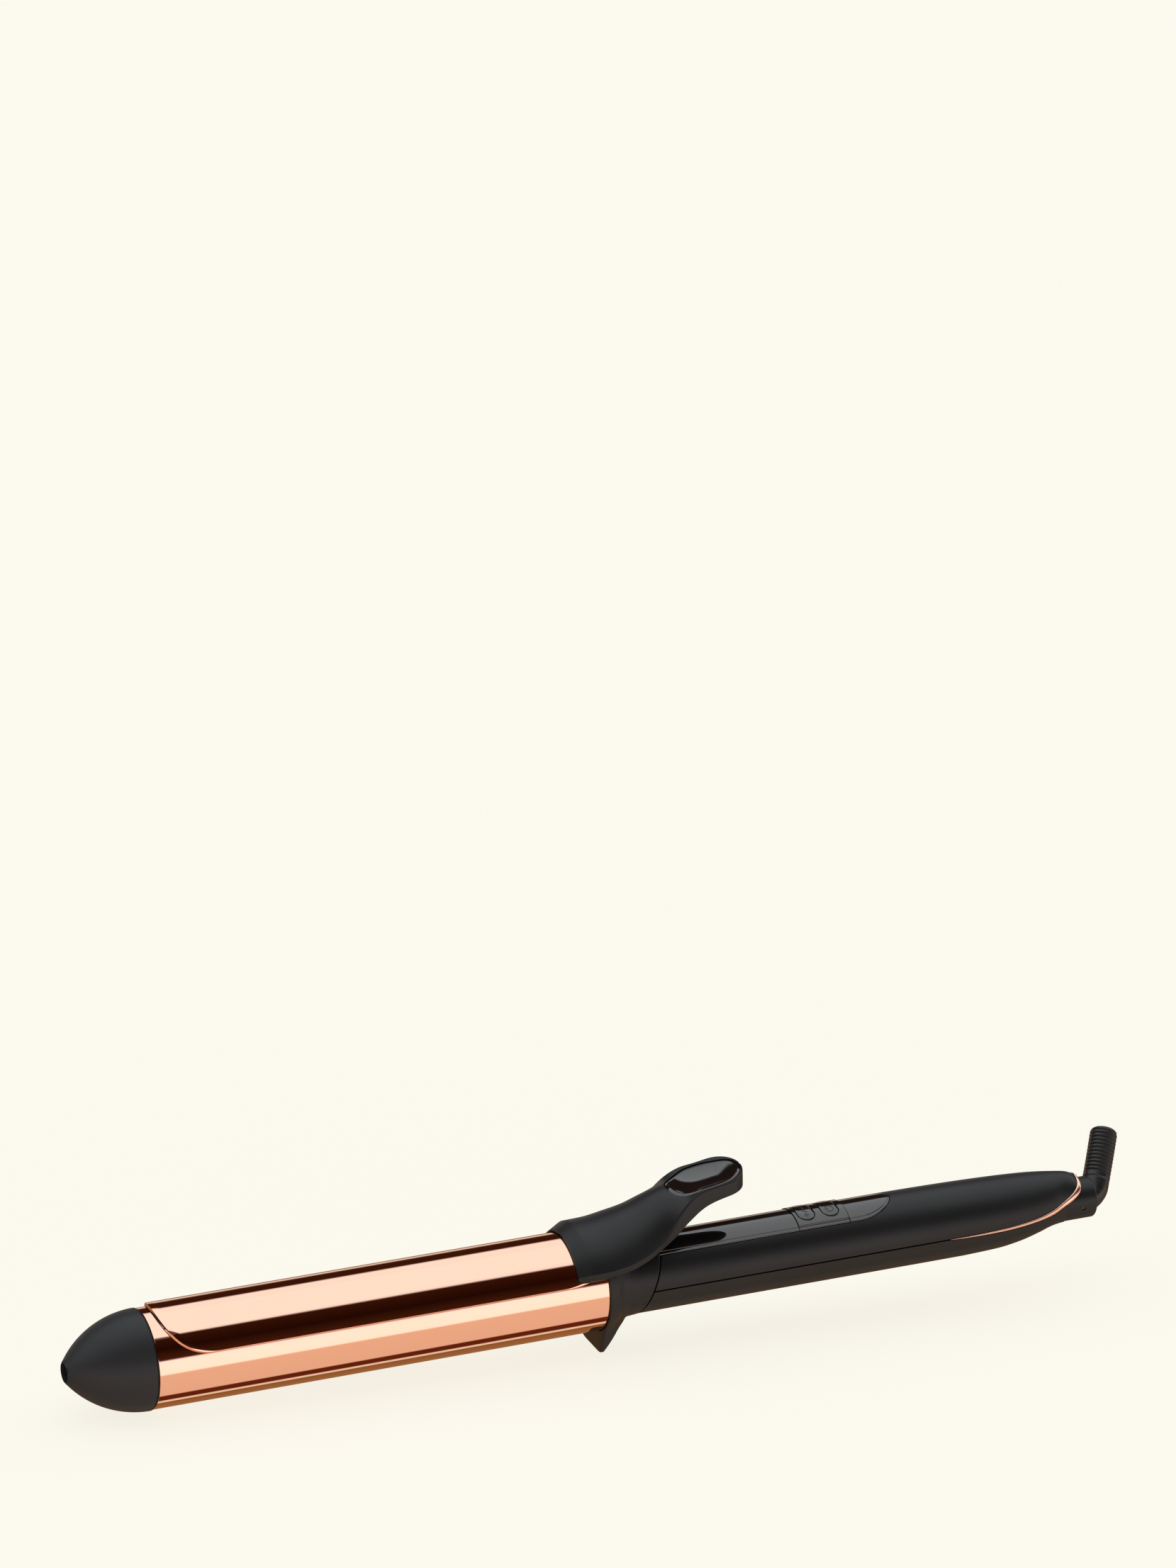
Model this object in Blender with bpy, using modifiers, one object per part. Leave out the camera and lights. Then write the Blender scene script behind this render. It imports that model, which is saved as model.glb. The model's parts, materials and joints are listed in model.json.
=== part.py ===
"""A curling iron with a spring clip, built as an assembly of named sub-parts.

Lengths are written in millimetres and every helper turns them into metres. The
iron is laid out along +X from its cool tip to its cord end, with X = 0 at the
rear rim of the barrel and the barrel's axis on X. One empty then tips the whole
iron by about two degrees, so that it rests on a table the way it is put down:
on the sole of its stand foot and on the rim of its cool tip.
"""

import math

import bmesh
import bpy
import numpy as np
from mathutils import Matrix, Vector

MM = 0.001

# Driving dimensions.
BARREL_R = 16.0
BARREL_LENGTH = 150.0
BARREL_WALL = 0.8
HANDLE_R = 12.25
HANDLE_Z = -0.6
SHELL_WALL = 1.6
GAP = 0.3

# Cool tip: a pointed arch turned about the axis, with a screw hole in its end.
TIP_BASE_R = BARREL_R + 0.25
TIP_LENGTH = 25.0
TIP_HOLE_R = 3.3
TIP_END_R = 3.9
TIP_ARC_R = 2 * BARREL_R
TIP_WALL = 2.2
TIP_WEB_X = -162.0

# Clip plate and lever.
CLIP_R = 17.1
CLIP_SHEET = 0.8
CLIP_HALF_ANGLE = 72
CLIP_FRONT_X = 5 - BARREL_LENGTH
CLIP_REAR_X = -1.2
PIVOT_X = 8.0
PIVOT_Z = 12.5
PIN_R = 1.5
PIN_PLAY = 0.08
BOSS_R = 2.4
LEVER_WALL = 2.2
LEVER_END_X = 50.4
INSET_X = 37.2
INSET_HALF_LENGTH = 11.7
INSET_HALF_WIDTH = 8.1
INSET_DEPTH = 1.0

# Collar, stand foot and the table line that the iron rests on.
COLLAR_FRONT_R = 16.9
COLLAR_BORE_R = 7.2
SHELL_FRONT_X = 19.4
SHELL_FRONT_SLOPE = 0.1
SOLE_Z = -22.4
SOLE_LENGTH = 2.4
SOLE_HALF_WIDTH = 8.2
REST_X = -BARREL_LENGTH - 0.5
REST_SLOPE = (SOLE_Z + TIP_BASE_R) / (0 - REST_X)

# Handle shells, control panel and trim.
SEAM_ANGLE = -12
TRIM_START_X = 121.0
TRIM_UPPER = (45.7, 2.4)
TRIM_LOWER = (48.0, 3.2)
NECK_X = 161.5
PANEL_HALF_WIDTH = 8.5
PANEL_END_X = 102.0
PANEL_NOSE = 13.0
BUTTON_ZONE = (68.0, 85.4)
BUTTON_X = {"temp_button": 72.6, "power_button": 80.8}
BUTTON_SIZE = (5.6, 11.0)
BUTTON_PROUD = 0.35
BOARD_Z = 3.4
BOARD_THICKNESS = 1.6
SCREW_X = {"front": 27.0, "mid": 112.0, "rear": 129.0}

# Cord swivel.
STUB_R = 6.65
STUB_Z = -1.0
STUB_END_X = 172.5
SHAFT_R = 3.6
RELIEF_R = 4.4
RELIEF_LENGTH = 23.5
RELIEF_BEND_R = 5.2
RELIEF_CUP_R = 5.75
RELIEF_CUP_X = 171.3
RELIEF_BORE_R = 2.2
RELIEF_DIRECTION = Vector((0.40, 0.57, 0.72)).normalized()

TURN_STEPS = 48
ARC_POINTS = 19

PARTS = None
CUTTERS = None
ROOT = None

MATERIALS = {
    "rose_gold": ((0.83, 0.48, 0.33), 0.12, 1.0),
    "steel": ((0.55, 0.55, 0.56), 0.30, 1.0),
    "aluminium": ((0.75, 0.75, 0.77), 0.35, 1.0),
    "brass": ((0.78, 0.60, 0.28), 0.30, 1.0),
    "black_soft": ((0.028, 0.028, 0.030), 0.55, 0.0),
    "black_gloss": ((0.010, 0.010, 0.011), 0.08, 0.0),
    "tip_plastic": ((0.030, 0.030, 0.032), 0.50, 0.0),
    "rubber": ((0.020, 0.020, 0.021), 0.60, 0.0),
    "ceramic": ((0.85, 0.83, 0.78), 0.60, 0.0),
    "insulator": ((0.55, 0.42, 0.18), 0.50, 0.0),
    "board_green": ((0.03, 0.22, 0.09), 0.45, 0.0),
    "wire_red": ((0.45, 0.03, 0.02), 0.50, 0.0),
    "wire_blue": ((0.03, 0.07, 0.40), 0.50, 0.0),
    "inner_plastic": ((0.20, 0.20, 0.21), 0.55, 0.0),
}


def smooth(x, xs, ys):
    """A rising or falling curve through the points (xs, ys), with no overshoot."""
    xs = np.asarray(xs, float)
    ys = np.asarray(ys, float)
    step = np.diff(xs)
    slope = np.diff(ys) / step
    tangent = np.zeros(len(xs))
    same = slope[:-1] * slope[1:] > 0
    both = slope[:-1] + slope[1:]
    tangent[1:-1][same] = 2 * (slope[:-1] * slope[1:])[same] / both[same]
    tangent[0] = slope[0]
    tangent[-1] = slope[-1]
    x = np.clip(x, xs[0], xs[-1])
    i = np.clip(np.searchsorted(xs, x, side="right") - 1, 0, len(step) - 1)
    t = (x - xs[i]) / step[i]
    rise = ys[i] + step[i] * t * (1 - t) * ((1 - t) * tangent[i] - t * tangent[i + 1])
    return rise + (ys[i + 1] - ys[i]) * t * t * (3 - 2 * t)


# ---------------------------------------------------------------- scene helpers


def clear_scene():
    for obj in list(bpy.data.objects):
        bpy.data.objects.remove(obj, do_unlink=True)
    for mesh in list(bpy.data.meshes):
        bpy.data.meshes.remove(mesh)


def make_collections():
    global PARTS, CUTTERS, ROOT
    PARTS = bpy.data.collections.new("curling_iron")
    CUTTERS = bpy.data.collections.new("cutters")
    for collection in (PARTS, CUTTERS):
        bpy.context.scene.collection.children.link(collection)
    ROOT = bpy.data.objects.new("iron_frame", None)
    PARTS.objects.link(ROOT)
    tilt = math.atan(REST_SLOPE)
    middle = SOLE_LENGTH / 2
    sole = Vector((middle, 0, SOLE_Z + REST_SLOPE * middle)) * MM
    turn = Matrix.Rotation(tilt, 4, "Y")
    ROOT.matrix_world = turn @ Matrix.Translation(-sole)


def material(name):
    found = bpy.data.materials.get(name)
    if found:
        return found
    colour, roughness, metallic = MATERIALS[name]
    made = bpy.data.materials.new(name)
    made.use_nodes = True
    shader = made.node_tree.nodes["Principled BSDF"]
    shader.inputs["Base Color"].default_value = (*colour, 1)
    shader.inputs["Roughness"].default_value = roughness
    shader.inputs["Metallic"].default_value = metallic
    return made


def add_part(name, mesh, material_name, smooth_faces=True):
    """A visible node, in the iron's own frame."""
    obj = bpy.data.objects.new(name, mesh)
    obj.data.materials.append(material(material_name))
    if smooth_faces and hasattr(obj.data, "shade_smooth"):
        obj.data.shade_smooth()
    PARTS.objects.link(obj)
    obj.parent = ROOT
    return obj


def add_cutter(name, mesh):
    obj = bpy.data.objects.new("cut_" + name, mesh)
    obj.display_type = "WIRE"
    obj.hide_render = True
    CUTTERS.objects.link(obj)
    obj.parent = ROOT
    return obj


def combine(target, other, operation):
    modifier = target.modifiers.new(operation.lower(), "BOOLEAN")
    modifier.operation = operation
    modifier.solver = "EXACT"
    modifier.object = other


def cut(target, other):
    combine(target, other, "DIFFERENCE")


def join(target, other):
    combine(target, other, "UNION")


def keep_inside(target, other):
    combine(target, other, "INTERSECT")


def place(obj, location, turn=(0, 0, 0)):
    obj.location = Vector(location) * MM
    obj.rotation_euler = [math.radians(a) for a in turn]
    return obj


# ---------------------------------------------------------------- mesh helpers


def mesh_of(name, points, faces):
    mesh = bpy.data.meshes.new(name)
    mesh.from_pydata([tuple(Vector(p) * MM) for p in points], [], faces)
    mesh.update()
    return mesh


def outward(mesh):
    """Turn every face of a closed mesh to face out."""
    bm = bmesh.new()
    bm.from_mesh(mesh)
    bmesh.ops.recalc_face_normals(bm, faces=bm.faces)
    if bm.calc_volume(signed=True) < 0:
        bmesh.ops.reverse_faces(bm, faces=bm.faces)
    bm.to_mesh(mesh)
    bm.free()
    return mesh


def bmesh_to_mesh(bm, name):
    mesh = bpy.data.meshes.new(name)
    bm.to_mesh(mesh)
    bm.free()
    return mesh


def box_mesh(name, low, high):
    """A box between two corners."""
    low = Vector(low) * MM
    high = Vector(high) * MM
    bm = bmesh.new()
    bmesh.ops.create_cube(bm, size=1)
    bmesh.ops.scale(bm, vec=high - low, verts=bm.verts)
    bmesh.ops.translate(bm, vec=(low + high) / 2, verts=bm.verts)
    return bmesh_to_mesh(bm, name)


def rod_mesh(name, start, end, radius, end_radius=None, sides=32):
    """A cylinder or a cone between two points."""
    start = Vector(start) * MM
    end = Vector(end) * MM
    run = end - start
    last = radius if end_radius is None else end_radius
    bm = bmesh.new()
    bmesh.ops.create_cone(
        bm,
        cap_ends=True,
        segments=sides,
        radius1=radius * MM,
        radius2=last * MM,
        depth=run.length,
    )
    turn = Vector((0, 0, 1)).rotation_difference(run).to_matrix().to_4x4()
    move = Matrix.Translation((start + end) / 2) @ turn
    bmesh.ops.transform(bm, matrix=move, verts=bm.verts)
    return bmesh_to_mesh(bm, name)


def turned(name, profile, material_name, centre_z=0.0, steps=TURN_STEPS, cutter=False):
    """A profile of (x, radius) points turned about a line along X.

    The points form a ring, unless the first and last lie on the axis.
    """
    points = [(radius, 0, x) for x, radius in profile]
    area = sum(
        a[0] * b[2] - b[0] * a[2] for a, b in zip(points, points[1:] + points[:1])
    )
    if area > 0:
        points.reverse()
    count = len(points)
    edges = [(i, i + 1) for i in range(count - 1)]
    if points[0][0] > 0 or points[-1][0] > 0:
        edges.append((count - 1, 0))
    mesh = bpy.data.meshes.new(name)
    mesh.from_pydata([tuple(Vector(p) * MM) for p in points], edges, [])
    if cutter:
        obj = add_cutter(name, mesh)
    else:
        obj = add_part(name, mesh, material_name, smooth_faces=False)
    place(obj, (0, 0, centre_z), (0, 90, 0))
    screw = obj.modifiers.new("turn", "SCREW")
    screw.axis = "Z"
    screw.angle = math.tau
    screw.steps = steps
    screw.render_steps = steps
    screw.use_merge_vertices = True
    screw.merge_threshold = 0.00001
    screw.use_smooth_shade = True
    return obj


def grid_mesh(name, rows):
    """An open surface over a grid of points, facing away from the iron's axis
    when the rows run along +X and each row runs from +Y over the top to -Y."""
    rows = np.asarray(rows)
    count, width = rows.shape[:2]
    faces = []
    for i in range(count - 1):
        for j in range(width - 1):
            a = i * width + j
            faces.append((a, a + 1, a + width + 1, a + width))
    return mesh_of(name, rows.reshape(-1, 3), faces)


def sheet(name, rows, material_name, thickness):
    """A surface given its thickness on its inner side."""
    obj = add_part(name, grid_mesh(name, rows), material_name)
    solid = obj.modifiers.new("thickness", "SOLIDIFY")
    solid.thickness = thickness * MM
    solid.offset = -1
    return obj


def strip_faces(first, second):
    """The quads between two equal rows of vertex numbers."""
    pairs = list(zip(first, second))
    return [(a, b, d, c) for (a, b), (c, d) in zip(pairs, pairs[1:])]


def loft_mesh(name, outer, inner):
    """A closed solid between an outer and an inner grid of the same shape."""
    outer = np.asarray(outer)
    inner = np.asarray(inner)
    rows, width = outer.shape[:2]
    out_id = np.arange(rows * width).reshape(rows, width)
    in_id = out_id + rows * width
    faces = []
    for i in range(rows - 1):
        faces += strip_faces(out_id[i + 1], out_id[i])
        faces += strip_faces(in_id[i], in_id[i + 1])
    faces += strip_faces(out_id[0], in_id[0])
    faces += strip_faces(in_id[-1], out_id[-1])
    faces += strip_faces(in_id[:, 0], out_id[:, 0])
    faces += strip_faces(out_id[:, -1], in_id[:, -1])
    points = np.concatenate([outer.reshape(-1, 3), inner.reshape(-1, 3)])
    return outward(mesh_of(name, points, faces))


def outline_mesh(name, outline, low, high):
    """A flat outline of (x, y) points raised from one height to another."""
    outline = list(outline)
    count = len(outline)
    points = [(x, y, low) for x, y in outline] + [(x, y, high) for x, y in outline]
    sides = [
        (i, (i + 1) % count, count + (i + 1) % count, count + i) for i in range(count)
    ]
    ends = [tuple(reversed(range(count))), tuple(range(count, 2 * count))]
    return outward(mesh_of(name, points, sides + ends))


def wire(name, points, radius, material_name):
    """A round wire along a smooth run of points."""
    curve = bpy.data.curves.new(name, "CURVE")
    curve.dimensions = "3D"
    curve.bevel_depth = radius * MM
    curve.bevel_resolution = 2
    curve.use_fill_caps = True
    spline = curve.splines.new("POLY")
    spline.points.add(len(points) - 1)
    for point, place_mm in zip(spline.points, points):
        point.co = (*(Vector(place_mm) * MM), 1)
    return add_part(name, curve, material_name)


# ---------------------------------------------------------------- barrel and tip


def build_barrel():
    barrel = [
        (-BARREL_LENGTH, BARREL_R),
        (0.9, BARREL_R),
        (0.9, BARREL_R - BARREL_WALL),
        (-BARREL_LENGTH, BARREL_R - BARREL_WALL),
    ]
    turned("barrel_tube", barrel, "rose_gold", steps=72)


def tip_radius(x):
    """The pointed arch: a circle of radius TIP_ARC_R that leaves the barrel smoothly."""
    back = -BARREL_LENGTH - GAP - x
    full = TIP_ARC_R - math.sqrt(TIP_ARC_R**2 - back**2)
    at_end = TIP_ARC_R - math.sqrt(TIP_ARC_R**2 - TIP_LENGTH**2)
    return TIP_BASE_R - full * (TIP_BASE_R - TIP_END_R) / at_end


def build_tip():
    base = -BARREL_LENGTH - GAP
    end = base - TIP_LENGTH
    spigot = BARREL_R - BARREL_WALL - GAP
    outer = [(x, tip_radius(x)) for x in np.linspace(base - 0.4, end + 0.2, 8)]
    profile = [(base, TIP_BASE_R - 0.3)] + outer
    profile += [
        (end, TIP_END_R - 0.25),
        (end, TIP_HOLE_R),
        (TIP_WEB_X, TIP_HOLE_R),
        (TIP_WEB_X, 1.8),
        (TIP_WEB_X + 2, 1.8),
        (TIP_WEB_X + 2, tip_radius(TIP_WEB_X + 2) - TIP_WALL),
        (base, spigot - TIP_WALL),
        (base + 9, spigot - TIP_WALL),
        (base + 9, spigot),
        (base, spigot),
    ]
    turned("cool_tip", profile, "tip_plastic")

    head = TIP_WEB_X - GAP / 2
    screw = [
        (head - 1.8, 0),
        (head - 1.8, 1.6),
        (head - 0.8, 2.7),
        (head, 2.7),
        (head, 1.45),
        (-136, 1.45),
        (-135.4, 0),
    ]
    turned("tip_screw", screw, "steel", steps=24)

    rim = spigot - GAP
    anchor = [
        (-140.4, 1.7),
        (-140.4, rim),
        (-138.4, rim),
        (-138.4, 4.5),
        (-134, 4.5),
        (-134, 1.7),
    ]
    turned("tip_anchor", anchor, "steel", steps=48)


def build_heater():
    """Two half-round heat spreaders pressed on a flat heater, inside the barrel."""
    radius = BARREL_R - BARREL_WALL - GAP
    front = -132.0
    rear = -22.0
    flat = 2.6
    for name, side in (("heat_spreader_upper", 1), ("heat_spreader_lower", -1)):
        edge = math.asin(flat / radius)
        sweep = np.linspace(edge, math.pi - edge, 25)
        arc = [(radius * math.cos(a), side * radius * math.sin(a)) for a in sweep]
        rows = [[(x, y, z) for y, z in arc] for x in (front, rear)]
        count = len(arc)
        points = [p for row in rows for p in row]
        ring = list(range(count))
        faces = [tuple(ring), tuple(i + count for i in reversed(ring))]
        faces += [
            (i, i + count, (i + 1) % count + count, (i + 1) % count) for i in range(count)
        ]
        add_part(name, outward(mesh_of(name, points, faces)), "aluminium", smooth_faces=False)

    plate = box_mesh("heater_plate", (front + 6, -7, -1.2), (rear - 6, 7, 1.2))
    add_part("heater_plate", plate, "ceramic", smooth_faces=False)
    for name, side in (("insulator_upper", 1), ("insulator_lower", -1)):
        heights = sorted((side * 1.5, side * 2.3))
        film = box_mesh(name, (front + 2, -9, heights[0]), (rear - 2, 9, heights[1]))
        add_part(name, film, "insulator", smooth_faces=False)
    fuse = [
        (-20, 0),
        (-20, 0.5),
        (-19, 1.5),
        (-11, 1.5),
        (-10, 0.5),
        (-10, 0),
    ]
    turned("thermal_fuse", fuse, "steel", steps=20)


# ---------------------------------------------------------------- collar and hinge


def build_collar():
    """The collar that grips the barrel, with the stand foot below and a notch above."""
    plug = BARREL_R - BARREL_WALL - GAP
    socket = [
        (-17, plug),
        (1.0, plug),
        (1.0, COLLAR_BORE_R),
        (-9, COLLAR_BORE_R),
        (-9, plug - 3),
        (-17, plug - 3),
    ]
    turned("barrel_socket", socket, "ceramic")

    seat = BARREL_R + GAP
    step = 1.3
    profile = [(0, COLLAR_FRONT_R - 0.3), (0.3, COLLAR_FRONT_R)]
    xs = np.linspace(1.5, 13, 9)
    radii = smooth(xs, (0.3, 3, 6, 9.5, 13), (COLLAR_FRONT_R, 16.0, 14.0, 12.75, 12.4))
    profile += list(zip(xs, radii))
    profile += [
        (22.6, HANDLE_R),
        (22.6, COLLAR_BORE_R),
        (step, COLLAR_BORE_R),
        (step, seat),
        (0, seat),
    ]
    collar = turned("collar", profile, "black_soft")

    foot = stand_foot()
    join(collar, foot)
    barrel_room = rod_mesh("barrel_room", (-5, 0, 0), (step, 0, 0), seat, sides=64)
    cut(collar, add_cutter("barrel_room", barrel_room))
    shells = slanted_block("shell_room", SHELL_FRONT_X - GAP, 30)
    sleeve = turned(
        "shell_seat",
        [(10, 30), (40, 30), (40, HANDLE_R - SHELL_WALL - GAP), (10, HANDLE_R - SHELL_WALL - GAP)],
        None,
        centre_z=HANDLE_Z,
        cutter=True,
    )
    keep_inside(sleeve, shells)
    cut(collar, sleeve)
    notch = box_mesh("hinge_notch", (2.4, -9.4, 8.3), (13.6, 9.4, 20))
    cut(collar, add_cutter("hinge_notch", notch))


def slanted_block(name, front, half):
    """A block whose front face leans like the front edges of the handle shells."""
    lean = SHELL_FRONT_SLOPE * half
    points = [
        (x + side * lean, y, side * half)
        for side in (-1, 1)
        for x, y in ((front, -half), (front, half))
    ]
    points += [(80, y, z) for z in (-half, half) for y in (-half, half)]
    faces = [(0, 1, 3, 2), (4, 6, 7, 5), (0, 4, 5, 1), (2, 3, 7, 6), (0, 2, 6, 4), (1, 5, 7, 3)]
    return add_cutter(name, outward(mesh_of(name, points, faces)))


def stand_foot():
    """A wedge under the collar, whose flat sole lies in the table's plane."""

    def table(x):
        return SOLE_Z + REST_SLOPE * x

    front = [(0, SOLE_HALF_WIDTH, table(0)), (0, 11.8, -12.0), (0, 9.5, -6.0)]
    rear = [
        (SOLE_LENGTH, SOLE_HALF_WIDTH, table(SOLE_LENGTH)),
        (7.4, 6.4, -11.6),
        (10.4, 6.0, -6.0),
    ]
    sections = []
    for section in (front, rear):
        mirrored = [(x, -y, z) for x, y, z in reversed(section)]
        sections.append(section + mirrored)
    count = len(sections[0])
    points = sections[0] + sections[1]
    faces = [tuple(range(count)), tuple(range(2 * count - 1, count - 1, -1))]
    faces += [
        (i, i + count, (i + 1) % count + count, (i + 1) % count) for i in range(count)
    ]
    return add_cutter("stand_foot", outward(mesh_of("stand_foot", points, faces)))


def build_hinge():
    """A steel bracket in the collar's notch, its pin and the spring on the pin."""
    bracket_mesh = box_mesh("hinge_bracket", (3.0, -8.7, 8.6), (13.0, 8.7, 15.6))
    bracket = add_part("hinge_bracket", bracket_mesh, "steel", smooth_faces=False)
    middle = box_mesh("bracket_middle", (0, -7.2, 9.3), (16, 7.2, 18))
    cut(bracket, add_cutter("bracket_middle", middle))
    for sign in (-1, 1):
        side = "near" if sign < 0 else "far"
        corner = box_mesh("corner", (-4, -20, -4), (4, 20, 4))
        ear_cut = place(
            add_cutter("ear_" + side, corner),
            (PIVOT_X + sign * 6.6, 0, PIVOT_Z + 5.4),
            (0, 45, 0),
        )
        cut(bracket, ear_cut)
    bore = rod_mesh("bore", (PIVOT_X, -12, PIVOT_Z), (PIVOT_X, 12, PIVOT_Z), PIN_R + PIN_PLAY)
    cut(bracket, add_cutter("bracket_bore", bore))

    ends = 11.6
    pin = rod_mesh("hinge_pin", (PIVOT_X, -ends, PIVOT_Z), (PIVOT_X, ends, PIVOT_Z), PIN_R)
    add_part("hinge_pin", pin, "steel")

    wire_r = 0.45
    coil_r = PIN_R + wire_r + GAP
    turns = 5
    per_turn = 10
    half_width = 4.6
    coil = []
    for i in range(turns * per_turn + 1):
        angle = math.tau * i / per_turn
        y = -half_width + 2 * half_width * i / (turns * per_turn)
        coil.append(
            (PIVOT_X + coil_r * math.cos(angle), y, PIVOT_Z + coil_r * math.sin(angle))
        )
    first = [(PIVOT_X + coil_r + 0.3, -half_width - 0.2, PIVOT_Z + 4)]
    last = [(PIVOT_X + coil_r + 0.3, half_width + 0.2, PIVOT_Z + 4)]
    wire("torsion_spring", first + coil + last, wire_r, "steel")


# ---------------------------------------------------------------- clip and lever


def build_clip():
    """The curved spring-steel tongue that presses hair on the barrel."""
    half = CLIP_HALF_ANGLE
    flat = 37
    corner = 16.0
    side = np.concatenate([np.linspace(0, flat, 6), np.linspace(flat, half, 9)[1:]])
    turn = np.concatenate([-side[:0:-1], side])
    rows = []
    for v in np.linspace(0, 1, 7):
        row = []
        for angle in turn:
            u = max(0.0, (abs(angle) - flat) / (half - flat))
            front = CLIP_FRONT_X + corner * (1 - math.sqrt(max(0.0, 1 - u * u)))
            w = max(0.0, (abs(angle) - 46) / (half - 46))
            rear = CLIP_REAR_X - 12 * (1 - math.sqrt(max(0.0, 1 - w * w)))
            a = math.radians(angle)
            x = front + v * (rear - front)
            row.append((x, -CLIP_R * math.sin(a), CLIP_R * math.cos(a)))
        rows.append(row)
    clip = sheet("clip_plate", rows, "rose_gold", CLIP_SHEET)
    lever = build_lever()
    for name, angle in (("left", 20), ("right", -20)):
        up = Vector((0, math.sin(math.radians(angle)), math.cos(math.radians(angle))))
        foot_point = Vector((-5, 0, 0)) + up * (CLIP_R - CLIP_SHEET + 0.05)
        head_point = Vector((-5, 0, 0)) + up * 18.9
        rivet = rod_mesh("rivet_" + name, foot_point, head_point, 1.2, sides=20)
        add_part("rivet_" + name, rivet, "steel")
        hole = rod_mesh("rivet_hole", foot_point - up, head_point + up * GAP, 1.5, sides=20)
        cutter = add_cutter("rivet_hole_" + name, hole)
        cut(clip, cutter)
        cut(lever, cutter)


LEVER_X = (-6.3, 0, 6.3, 12.2, 17.8, 23.5, 28.6, 35.1, 40.1, 47.3, 52)
LEVER_LOW = (8.4, 8.6, 9.2, 10.5, 12.8, 16.0, 20.1, 24.1, 25.6, 26.9, 27.3)
LEVER_WIDTH_X = (-6.3, 0, 6.3, 12.2, 17.8, 23.5, 28.6, 33, 38, 42)
LEVER_WIDTH = (18.1, 18.05, 17.6, 16.4, 14.9, 13.1, 11.6, 10.7, 10.3, 10.2)
LEVER_TOP_X = (-6.3, 0, 8, 13, 19, 26, 31, 38, 45, 52)
LEVER_TOP = (20.2, 20.4, 21.9, 23.2, 25.7, 28.3, 29.0, 29.9, 31.1, 32.3)
ARCH = math.radians(65)


def lever_half_width(x):
    """The width in plan: a waist behind the collar and a round rear end."""
    width = smooth(x, LEVER_WIDTH_X, LEVER_WIDTH)
    back = np.clip((x - 42) / (LEVER_END_X - 42), 0, 1)
    return width * np.sqrt(np.maximum(0.0, 1 - back**2.4))


def lever_outer(x, s):
    """The (y, z) of the lever's outer face at distance x, for s from -1 to 1 across.

    In front it is an arch over the barrel. Behind it flattens to a dished tab.
    """
    low = smooth(x, LEVER_X, LEVER_LOW)
    top = smooth(x, LEVER_TOP_X, LEVER_TOP)
    width = lever_half_width(x)
    if x < -6.3:
        shrink = (20 - 2.2 * (-6.3 - x) / 4.2) / 20
        width = width * shrink
        low = low * shrink
        top = 20.2 * shrink
    flat = np.clip((x - 19) / 17, 0, 1)
    flat = flat * flat * (3 - 2 * flat)
    s = np.asarray(s, float)
    a = np.abs(s)
    arch_y = width * np.sin(s * ARCH) / math.sin(ARCH)
    fall = (np.cos(s * ARCH) - math.cos(ARCH)) / (1 - math.cos(ARCH))
    arch_z = low + (top - low) * fall
    lip = np.clip((a - 0.8) / 0.2, 0, 1)
    rim = width * 0.9
    tab_y = np.sign(s) * (np.minimum(a / 0.8, 1) * rim + (width - rim) * np.sqrt(lip))
    dish = 2.0 * (1 - np.minimum(a / 0.8, 1) ** 2)
    tab_z = top - dish - (top - low) * lip**2
    return arch_y * (1 - flat) + tab_y * flat, arch_z * (1 - flat) + tab_z * flat


def lever_inner(x, s):
    """The (y, z) of the lever's inner face: hollow in front, solid at the tab."""
    low = smooth(x, LEVER_X, LEVER_LOW)
    top = smooth(x, LEVER_TOP_X, LEVER_TOP)
    width = lever_half_width(x)
    flat = np.clip((x - 19) / 17, 0, 1)
    flat = flat * flat * (3 - 2 * flat)
    s = np.asarray(s, float)
    inside = CLIP_R + GAP
    if x < 0:
        return inside * np.sin(s * ARCH), inside * np.cos(s * ARCH)
    behind = min(1.0, x / 6)
    wall = 20 - inside + (LEVER_WALL - 20 + inside) * behind
    edge = inside * math.cos(ARCH) * (1 - behind) + low * behind
    arch_y = (width - wall) * np.sin(s * ARCH) / math.sin(ARCH)
    fall = (np.cos(s * ARCH) - math.cos(ARCH)) / (1 - math.cos(ARCH))
    arch_z = edge + (top - wall - edge) * fall
    tab_y = (width - min(1.0, width * 0.3)) * s
    tab_z = low - 1.3 * min(1.0, width / 10.5) * (1 - s * s)
    return arch_y * (1 - flat) + tab_y * flat, arch_z * (1 - flat) + tab_z * flat


def lever_surface_z(x, y):
    """The height of the lever's outer face over a point."""
    s = np.linspace(0, 0.95, 80)
    ys, zs = lever_outer(x, s)
    return float(np.interp(abs(y), ys, zs))


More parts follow.
